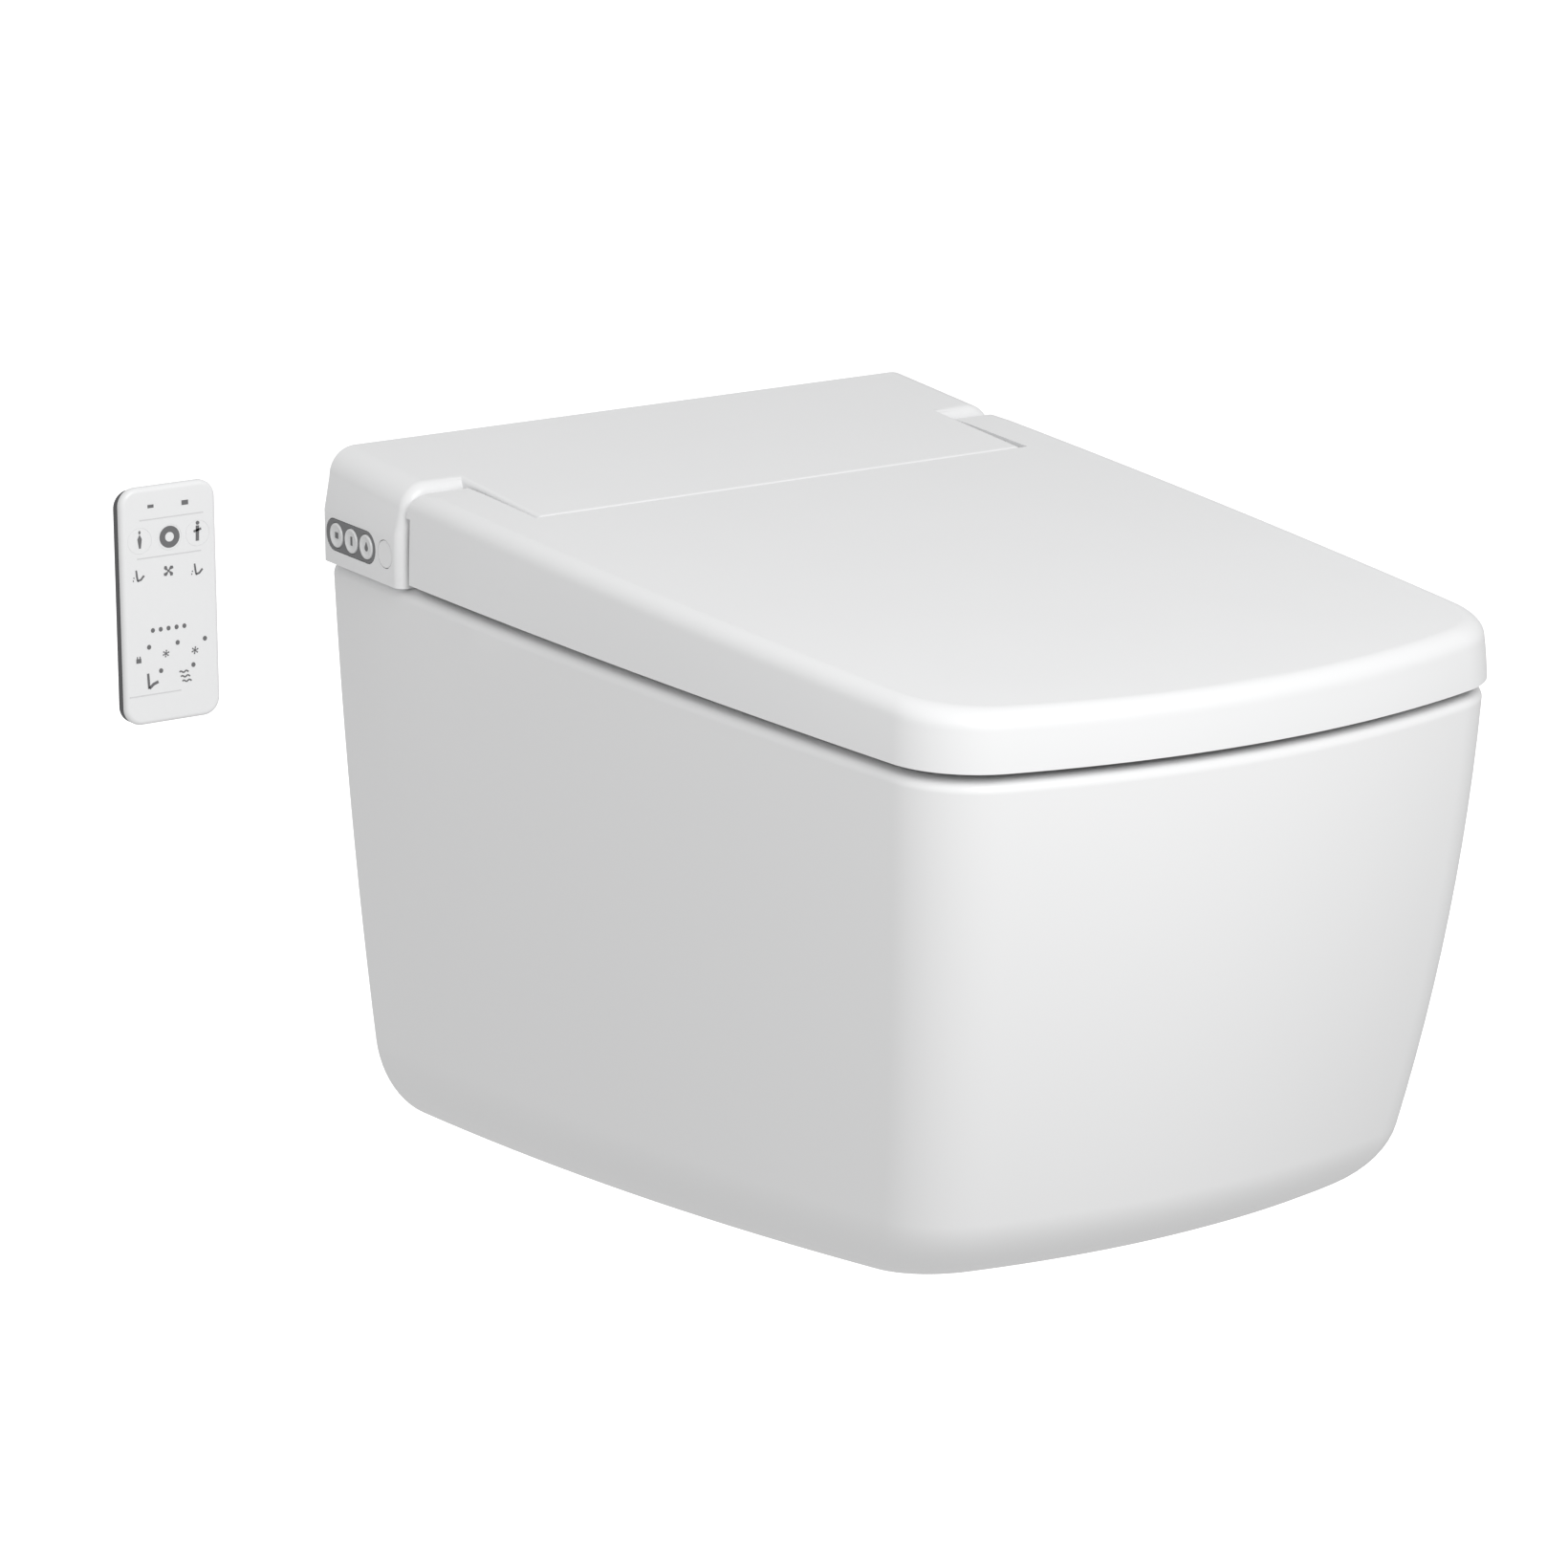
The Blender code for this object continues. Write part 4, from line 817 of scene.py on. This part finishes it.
def make_button_signs():
    """Plain marks on the three buttons: a square, an upright bar and a drop."""
    depth = (FACE_X - 0.0002, FACE_X + 0.0003)
    (stop, y0), (rear, y1), (front, y2) = BUTTONS
    square = rectangle((y0, BUTTON_Z), 3.4 * MM, 3.4 * MM)
    bar = rectangle((y1, BUTTON_Z), 1.9 * MM, 5.0 * MM)
    drop = [(y2, BUTTON_Z + 2.9 * MM)]
    steps = 12
    for k in range(steps + 1):
        angle = math.radians(20.0 - 220.0 * k / steps)
        drop.append((y2 + 1.7 * MM * math.cos(angle), BUTTON_Z - 0.7 * MM + 1.7 * MM * math.sin(angle)))
    for body, outline in ((stop, square), (rear, bar), (front, drop)):
        sign = prism_x(body + "_sign", outline, *depth)
        finish_piece(sign, body + "_sign", body, "grey_plastic", material=PRINT)


def make_bezel():
    bezel = capsule("bezel", *BEZEL, BUTTON_Z, BEZEL_R, FACE_X, FACE_X + 0.003, edge=0.0005)
    outside, inside = FACE_X - PAST, FACE_X + PAST
    holes = [
        rod("button_hole", (outside, y, BUTTON_Z), (inside, y, BUTTON_Z), BUTTON_R + GAP)
        for _, y in BUTTONS
    ]
    cut(bezel, *holes)
    soften(bezel, 0.0003, segments=2)
    finish_piece(bezel, "button_panel", "base", "grey_plastic", "button_bezel")


def make_receiver():
    """Slightly dished round window with a soft edge."""
    profile = (
        (FACE_X + 0.0002, 0.0060),
        (FACE_X, 0.0072),
        (FACE_X + 0.0001, 0.0076),
        (FACE_X + 0.0006, RECEIVER_R),
        (FACE_X + 0.0050, RECEIVER_R),
    )
    cover = turned_x("receiver", (RECEIVER_Y, BUTTON_Z), profile)
    finish_piece(cover, "receiver_cover", "base", "white_plastic", "remote_receiver", material=PALE_LENS)


# ---- seat ----
def seat_top(depth):
    rise = (SEAT_TOP_REAR - SEAT_TOP_FRONT) * (LENGTH - depth) / (LENGTH - SEAT_REAR)
    return RIM + SEAT_TOP_FRONT + min(rise, SEAT_TOP_REAR - SEAT_TOP_FRONT)


def skin_rings(thickness, low, radius, rear):
    """Rings from a level lower edge up the side and round the upper edge, in by a wall thickness."""
    start = SEAT_INSET + thickness
    plan = inset_plan(rear, start)
    rings = [[(x, y, low) for x, y in plan]]
    for inset, fall in reversed(quarter(radius)):
        plan = inset_plan(rear, start + inset)
        rings.append([(x, y, seat_top(-y) - thickness - fall) for x, y in plan])
    return rings


def grown_opening(grow):
    """Outline of the way through the seat, grown all round."""
    return egg(OPENING_REAR - grow, OPENING_FRONT + grow, OPENING_HALF + grow)


def opening(name, grow, low, high):
    return loft(name, [[(x, y, z) for x, y in grown_opening(grow)] for z in (low, high)])


def seat_cutter(name):
    """The way through the seat, flared round its upper edge."""
    rings = [[(x, y, RIM - 0.03) for x, y in grown_opening(0.0)]]
    for grown, drop in reversed(quarter(SEAT_FLARE)):
        rings.append([(x, y, seat_top(-y) - drop) for x, y in grown_opening(grown)])
    rings.append([(x, y, RIM + 0.06) for x, y in grown_opening(SEAT_FLARE)])
    return loft(name, rings)


def seat_arm(side, name):
    """Arm from the seat up to the hinge pin, with a round lug."""
    outline = []
    steps = 24
    for k in range(steps + 1):
        angle = math.radians(-90.0 + 180.0 * k / steps)
        outline.append((HINGE_Y + LUG_R * math.cos(angle), HINGE_Z + LUG_R * math.sin(angle)))
    outline += [
        (-0.150, seat_top(0.15) + 0.006),
        (-0.185, RIM + 0.020),
        (-0.185, SEAT_BOTTOM),
        (-0.135, SEAT_BOTTOM),
    ]
    inner, outer = sorted((side * LUG[0], side * LUG[1]))
    return prism_x(name, outline, inner, outer)


def make_seat():
    shell = loft("seat", skin_rings(0.0, SEAT_BOTTOM, 0.006, SEAT_REAR))
    inside = loft("seat_inside", skin_rings(SHELL, RIM - PAST, 0.003, SEAT_REAR + SHELL))
    cut(
        inside,
        opening("rim_wall", SHELL, RIM - 0.02, RIM + 0.05),
        opening("flare_wall", SEAT_FLARE + SHELL, SEAT_BOTTOM + 0.0030, RIM + 0.05),
    )
    cut(shell, inside)
    join(shell, seat_arm(-1, "seat_arm_left"), seat_arm(1, "seat_arm_right"))
    cut(shell, seat_cutter("way_through"), hinge_rod("pin_hole", 0.19, PIN_R + GAP))
    soften(shell, 0.0006, angle=60.0, segments=2)
    finish_piece(shell, "seat_skin", "seat", "white_plastic", "seat_shell")


# ---- lid ----
def lid_top(depth):
    """Upper face of the lid: level over the arms, then falling evenly to the front."""
    fall = (LID_TOP_REAR - LID_TOP_FRONT) / (LENGTH - BLOCK_DEPTH)
    return RIM + min(ARM_TOP, LID_TOP_REAR - fall * (depth - BLOCK_DEPTH))


def lid_rings(thickness, low, rear):
    """Rings up the leaning, slightly bulging side and round the upper edge, in by a wall thickness."""
    start = LID_INSET + thickness
    rings = []
    for k in range(SIDE_RINGS):
        share = k / SIDE_RINGS
        ring = inset_plan(rear, start + LID_LEAN * share * (0.5 + 0.5 * share))
        rings.append([(x, y, low + (lid_top(-y) - LID_EDGE_R - low) * share) for x, y in ring])
    for inset, below in reversed(quarter(LID_EDGE_R - thickness)):
        ring = inset_plan(rear, start + LID_LEAN + inset)
        rings.append([(x, y, lid_top(-y) - thickness - below) for x, y in ring])
    return rings


def arm_rounding(name, radius):
    """Everything behind the hinge axis and above it, outside the given radius."""
    block = box(name, (-WIDE, HINGE_Y, HINGE_Z), (WIDE, 0.05, HINGE_Z + 0.08))
    return cut(block, hinge_rod("core", 0.3, radius, segments=128))


def make_lid():
    shell = loft("lid", lid_rings(0.0, LID_BOTTOM, -HINGE_Y - ARM_R))
    inside = loft("lid_inside", lid_rings(SHELL, RIM - PAST, 0.07))
    wall = NOTCH_HALF + NOTCH_WALL
    cut(
        inside,
        box("notch_wall", (-wall, -NOTCH_DEPTH - SHELL, RIM - 0.02), (wall, 0.05, RIM + 0.1)),
        arm_rounding("inner_rounding", ARM_R - ARM_WALL),
    )
    cut(
        shell,
        box("behind_arms", (-WIDE, HINGE_Y + ARM_END, RIM - 0.02), (WIDE, 0.05, HINGE_Z + 0.0001)),
        arm_rounding("outer_rounding", ARM_R),
        inside,
        box("notch", (-NOTCH_HALF, -NOTCH_DEPTH, RIM - 0.03), (NOTCH_HALF, 0.06, RIM + 0.12)),
        hinge_rod("lid_pin_hole", 0.168, PIN_R + GAP),
    )
    soften(shell, 0.0008, angle=50.0)
    finish_piece(shell, "lid_skin", "lid", "white_plastic", "lid_shell")


# ---- remote control ----
KEYS = (("stop_key", 0.0), ("rear_wash_key", -0.0182), ("front_wash_key", 0.0172))
KEY_ROW = 0.0372
KEY_R = 0.0072
KEY_FLANGE_R = 0.0080
KEY_SLIT = 0.00004  # the gap round a key is a fine line
TONGUE_TOP = REMOTE_Z + 0.008
TONGUE_HALF = 0.0110
CELL_Z = REMOTE_Z + 0.042
PRINT_PROUD = 0.00015


def rounded_rectangle(width, height, radius, steps=12):
    points = []
    for turn, (sx, sz) in enumerate(((1, 1), (-1, 1), (-1, -1), (1, -1))):
        for k in range(steps + 1):
            angle = math.radians(90.0 * (turn + k / steps))
            x = sx * (width / 2 - radius) + radius * math.cos(angle)
            points.append((x, sz * (height / 2 - radius) + radius * math.sin(angle)))
    return points


def remote_slab(name, inset, sections, lowered=0.0):
    """Slab parallel to the wall: sections are (y, further inset), and its upper half may be lowered."""
    rings = []
    for y, more in sections:
        total = inset + more
        outline = rounded_rectangle(REMOTE_W - 2 * total, REMOTE_H - 2 * total, REMOTE_R - total)
        rings.append([(REMOTE_X + x, y, REMOTE_Z + z - (lowered if z > 0 else 0.0)) for x, z in outline])
    return disc_loft(name, rings)


def turned_y(name, x, z, profile):
    """Turned piece about an axis along Y: profile is (y, radius)."""
    turns = [2 * math.pi * k / ROUND for k in range(ROUND)]
    rings = [[(x + r * math.cos(t), y, z + r * math.sin(t)) for t in turns] for y, r in profile]
    return disc_loft(name, rings)


def make_remote_face():
    edge = [(REMOTE_FRONT + drop, inset) for inset, drop in quarter(REMOTE_EDGE_R)]
    front = remote_slab("front", 0.0, [*edge, (REMOTE_SPLIT - GAP, 0.0)])
    hollow = remote_slab("hollow", REMOTE_WALL, [(REMOTE_FRONT + 0.0015, 0.0015), (PAST, 0.0)])
    hole_profile = ((-0.03, KEY_R + KEY_SLIT), (-0.012, KEY_R + KEY_SLIT))
    holes = [turned_y("key_hole", REMOTE_X + x, REMOTE_Z + KEY_ROW, hole_profile) for _, x in KEYS]
    cut(front, hollow, *holes)
    finish_piece(front, "remote_face", "remote", "white_plastic", "remote_front")


def make_remote_case():
    rear_edge = [(REMOTE_REAR - drop, inset) for inset, drop in reversed(quarter(0.0015, 5))]
    back = remote_slab("back", 0.0, [(REMOTE_SPLIT, 0.0), *rear_edge], CASE_STEP)
    slot = TONGUE_HALF + GAP
    cut(
        back,
        remote_slab("back_hollow", REMOTE_WALL, [(-0.03, 0.0), (REMOTE_REAR - 0.0040, 0.0)], CASE_STEP),
        box(
            "tongue_slot",
            (REMOTE_X - slot, REMOTE_REAR - 0.0024, REMOTE_Z - 0.1),
            (REMOTE_X + slot, PAST, TONGUE_TOP + GAP),
        ),
        rod("door_hole", (REMOTE_X, -0.02, CELL_Z), (REMOTE_X, PAST, CELL_Z), 0.0128),
    )
    finish_piece(back, "remote_case", "remote", "dark_plastic", "remote_back")


def make_keys():
    flange_start = REMOTE_FRONT + 0.0018
    profile = (
        (REMOTE_FRONT, KEY_R - KEY_SLIT),
        (REMOTE_FRONT + 0.0001, KEY_R),
        (flange_start, KEY_R),
        (flange_start, KEY_FLANGE_R),
        (REMOTE_FRONT + 0.0026, KEY_FLANGE_R),
    )
    for name, x in KEYS:
        made = turned_y(name, REMOTE_X + x, REMOTE_Z + KEY_ROW, profile)
        finish_piece(made, name + "_cap", name, "white_plastic", name)


def ellipse(x, z, width, height, steps=24):
    turns = [2 * math.pi * k / steps for k in range(steps)]
    return [(x + width / 2 * math.cos(t), z + height / 2 * math.sin(t)) for t in turns]


def stroke(points, width):
    """Outline of a line of even width through the points, with square ends."""
    left, right = [], []
    for i, point in enumerate(points):
        here = Vector(point)
        before = Vector(points[max(i - 1, 0)])
        after = Vector(points[min(i + 1, len(points) - 1)])
        along = (after - before).normalized()
        side = Vector((-along.y, along.x)) * width / 2
        left.append(tuple(here + side))
        right.append(tuple(here - side))
    return left + right[::-1]


def turned(outline, degrees):
    c, s = math.cos(math.radians(degrees)), math.sin(math.radians(degrees))
    return [(a * c - b * s, a * s + b * c) for a, b in outline]


def placed(sign, x, z, width, height):
    """A sign drawn one unit large about the origin, scaled and moved to its place."""
    return [[(x + a * width, z + b * height) for a, b in outline] for outline in sign]


def standing_figure():
    """Slim upright lozenge under a small round head."""
    body = [(0, 0.28), (0.5, 0.02), (0.22, -0.5), (-0.22, -0.5), (-0.5, 0.02)]
    return [body, ellipse(0.0, 0.39, 0.5, 0.2, 16)]


def seat_sign():
    """Seated shape: an upright back, a level seat, and drops beside it."""
    back = stroke([(-0.30, 0.50), (-0.26, 0.0), (-0.18, -0.42)], 0.14)
    base = stroke([(-0.20, -0.42), (0.12, -0.34), (0.42, -0.02)], 0.17)
    return [back, base, ellipse(-0.52, -0.12, 0.10, 0.14, 10), ellipse(-0.58, -0.36, 0.10, 0.14, 10)]


def fan_sign():
    """Four bent blades about a hub."""
    blade = [(0.10, 0.05), (0.50, 0.08), (0.52, 0.30), (0.30, 0.38), (0.12, 0.22)]
    return [*[turned(blade, 90.0 * k + 12.0) for k in range(4)], ellipse(0.0, 0.0, 0.26, 0.26, 16)]


def bent_line_sign():
    """Upright stroke with a rising foot."""
    upright = stroke([(-0.35, 0.55), (-0.30, -0.50)], 0.17)
    return [upright, stroke([(-0.28, -0.48), (0.05, -0.22), (0.40, -0.10)], 0.2)]


def waves_sign():
    """Three short wavy strokes, one above another."""
    waves = []
    for k in range(3):
        height = 0.38 - 0.38 * k
        points = [(-0.5 + 0.1 * i + 0.12 * k, height + 0.07 * math.sin(1.3 * i)) for i in range(9)]
        waves.append(stroke(points, 0.12))
    return waves


def flower_sign():
    """Hub with short spokes."""
    spoke = rectangle((0.36, 0.0), 0.22, 0.16)
    return [*[turned(spoke, 60.0 * k + 20.0) for k in range(6)], ellipse(0.0, 0.0, 0.4, 0.4, 16)]


def plug_sign():
    """Small block with two prongs."""
    prongs = [rectangle((side * 0.2, 0.34), 0.16, 0.32) for side in (-1, 1)]
    return [rectangle((0.0, -0.12), 0.75, 0.62), *prongs]


def ring_sign(z, outside, inside, steps=48):
    """Flat ring on the middle line, as short blocks side by side."""
    blocks = []
    for k in range(steps):
        a, b = 2 * math.pi * k / steps, 2 * math.pi * (k + 1) / steps
        corners = ((outside, a), (outside, b), (inside, b), (inside, a))
        blocks.append([(reach * math.cos(turn), z + reach * math.sin(turn)) for reach, turn in corners])
    return blocks


def print_on_face(name, body, outlines, slot, material):
    """Thin raised print in millimetres about the remote's centre, as one piece."""
    mesh_data = bmesh.new()
    depths = (REMOTE_FRONT - PRINT_PROUD, REMOTE_FRONT + PRINT_PROUD)
    for outline in outlines:
        rings = [[(REMOTE_X + a * MM, y, REMOTE_Z + b * MM) for a, b in outline] for y in depths]
        add_prism(mesh_data, rings)
    bmesh.ops.triangulate(mesh_data, faces=[face for face in mesh_data.faces if len(face.verts) > 4])
    finish_piece(solid(name, mesh_data), name, body, slot, material=material)


def make_key_prints():
    """Signs on the three moving keys: a ring, a standing figure and a crossed figure."""
    ring = ring_sign(37.4, 6.1, 2.7)
    print_on_face("stop_print", "stop_key", ring, "grey_plastic", PRINT)
    figure = placed(standing_figure(), -18.2, 38.1, 2.6, 10.0)
    print_on_face("rear_wash_print", "rear_wash_key", figure, "grey_plastic", PRINT)
    upright, crossing = stroke([(16.9, 33.0), (17.2, 41.5)], 2.0), stroke([(14.8, 38.4), (19.4, 39.6)], 1.3)
    figure = [upright, ellipse(17.3, 43.0, 2.2, 2.2), crossing]
    print_on_face("front_wash_print", "front_wash_key", figure, "grey_plastic", PRINT)


def make_face_print():
    """Signs, lamp dots and faint lines on the face itself."""
    signs = [rectangle((-11.0, 55.8), 3.6, 1.8), rectangle((9.9, 55.4), 4.0, 2.6)]
    for sign, x, z, size in (
        (seat_sign(), -18.9, 17.9, 6.6),
        (seat_sign(), 16.8, 17.1, 6.6),
        (fan_sign(), -1.2, 18.5, 6.2),
    ):
        signs += placed(sign, x, z, size, size)
    signs += [ellipse(x, -13.6, 2.4, 2.6) for x in (-11.8, -7.0, -2.2, 2.7, 7.5)]
    for sign, x, z, size in (
        (plug_sign(), -20.9, -29.2, 4.0),
        (flower_sign(), -4.2, -27.7, 4.4),
        (flower_sign(), 13.6, -28.3, 4.6),
        (bent_line_sign(), -12.6, -42.0, 8.2),
        (waves_sign(), 7.2, -42.0, 7.0),
    ):
        signs += placed(sign, x, z, size, size)
    dots = ((-14.4, -22.7), (3.1, -22.4), (19.9, -22.4), (-7.5, -36.9), (12.4, -36.3))
    signs += [ellipse(x, z, 2.5, 2.7) for x, z in dots]
    print_on_face("remote_print", "remote", signs, "grey_plastic", PRINT)
    lines = ((-18.0, 21.0, 48.6), (-20.0, 19.0, 27.4), (-27.0, 4.5, -49.5))
    rules = [rectangle(((a + b) / 2, z), b - a, 0.7) for a, b, z in lines]
    print_on_face("remote_rules", "remote", rules, "light_plastic", FAINT_PRINT)


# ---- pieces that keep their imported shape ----
def dress_nodes():
    """Gives every node that is still shown the material of its slot."""
    for entry in frame["record"]["subparts"]:
        node = NODES[entry["node"]]
        node.data.materials.clear()
        node.data.materials.append(FINISHES[entry["material_slot"]])
        shade(node.data)


# ---- studio ----
def aim(made, place, target):
    """Adds a camera or lamp to the scene, at its place and turned to its target."""
    made.location = place
    made.rotation_euler = (Vector(target) - Vector(place)).to_track_quat("-Z", "Y").to_euler()
    bpy.context.scene.collection.objects.link(made)


def add_camera():
    turn, rise = math.radians(VIEW_TURN), math.radians(VIEW_RISE)
    away = Vector((-math.sin(turn) * math.cos(rise), -math.cos(turn) * math.cos(rise), math.sin(rise)))
    camera = bpy.data.objects.new("camera", bpy.data.cameras.new("camera"))
    camera.data.lens = VIEW_LENS
    camera.data.clip_end = 50.0
    aim(camera, VIEW_TARGET + away * VIEW_DISTANCE, VIEW_TARGET)
    bpy.context.scene.camera = camera


def add_lamp(name, place, target, size, power):
    lamp = bpy.data.lights.new(name, "AREA")
    lamp.shape = "DISK"
    lamp.size = size
    lamp.energy = power
    aim(bpy.data.objects.new(name, lamp), place, target)


def add_world():
    """Even white room: pure white where it is looked at, softer as a light."""
    world = bpy.data.worlds.new("studio")
    world.use_nodes = True
    tree = world.node_tree
    seen = tree.nodes["Background"]
    seen.inputs["Color"].default_value = (1.0, 1.0, 1.0, 1.0)
    seen.inputs["Strength"].default_value = BACKDROP_LIGHT
    room = tree.nodes.new("ShaderNodeBackground")
    room.inputs["Color"].default_value = (1.0, 1.0, 1.0, 1.0)
    room.inputs["Strength"].default_value = ROOM_LIGHT
    path = tree.nodes.new("ShaderNodeLightPath")
    mix = tree.nodes.new("ShaderNodeMixShader")
    tree.links.new(path.outputs["Is Camera Ray"], mix.inputs["Fac"])
    tree.links.new(room.outputs["Background"], mix.inputs[1])
    tree.links.new(seen.outputs["Background"], mix.inputs[2])
    tree.links.new(mix.outputs["Shader"], tree.nodes["World Output"].inputs["Surface"])
    bpy.context.scene.world = world


def add_floor():
    """Plain floor that neither tints nor mirrors in the part."""
    mesh_data = bmesh.new()
    bmesh.ops.create_grid(mesh_data, x_segments=1, y_segments=1, size=FLOOR_SIZE)
    mesh = bpy.data.meshes.new("floor")
    mesh_data.to_mesh(mesh)
    mesh_data.free()
    floor = bpy.data.objects.new("floor", mesh)
    floor.location = (0.0, 0.0, FLOOR_Z)
    bpy.context.scene.collection.objects.link(floor)
    made, shader = new_material("pale_floor", 0.9)
    shader.inputs["Base Color"].default_value = (0.9, 0.9, 0.9, 1.0)
    shader.inputs["Emission Color"].default_value = (1.0, 1.0, 1.0, 1.0)
    shader.inputs["Emission Strength"].default_value = FLOOR_GLOW
    mesh.materials.append(made)
    floor.visible_diffuse = False
    floor.visible_glossy = False


def add_studio():
    bpy.context.scene.view_settings.view_transform = "Standard"
    add_world()
    add_floor()
    add_lamp("softbox", place=(-0.55, -2.20, 1.60), target=(0.0, -0.3, 0.0), size=1.6, power=34.0)


add_camera()
add_studio()
dress_nodes()
make_bowl()
make_housing()
make_bezel()
for button, button_y in BUTTONS:
    make_button(button, button_y)
make_button_signs()
make_receiver()
make_seat()
make_lid()
make_remote_face()
make_remote_case()
make_keys()
make_key_prints()
make_face_print()
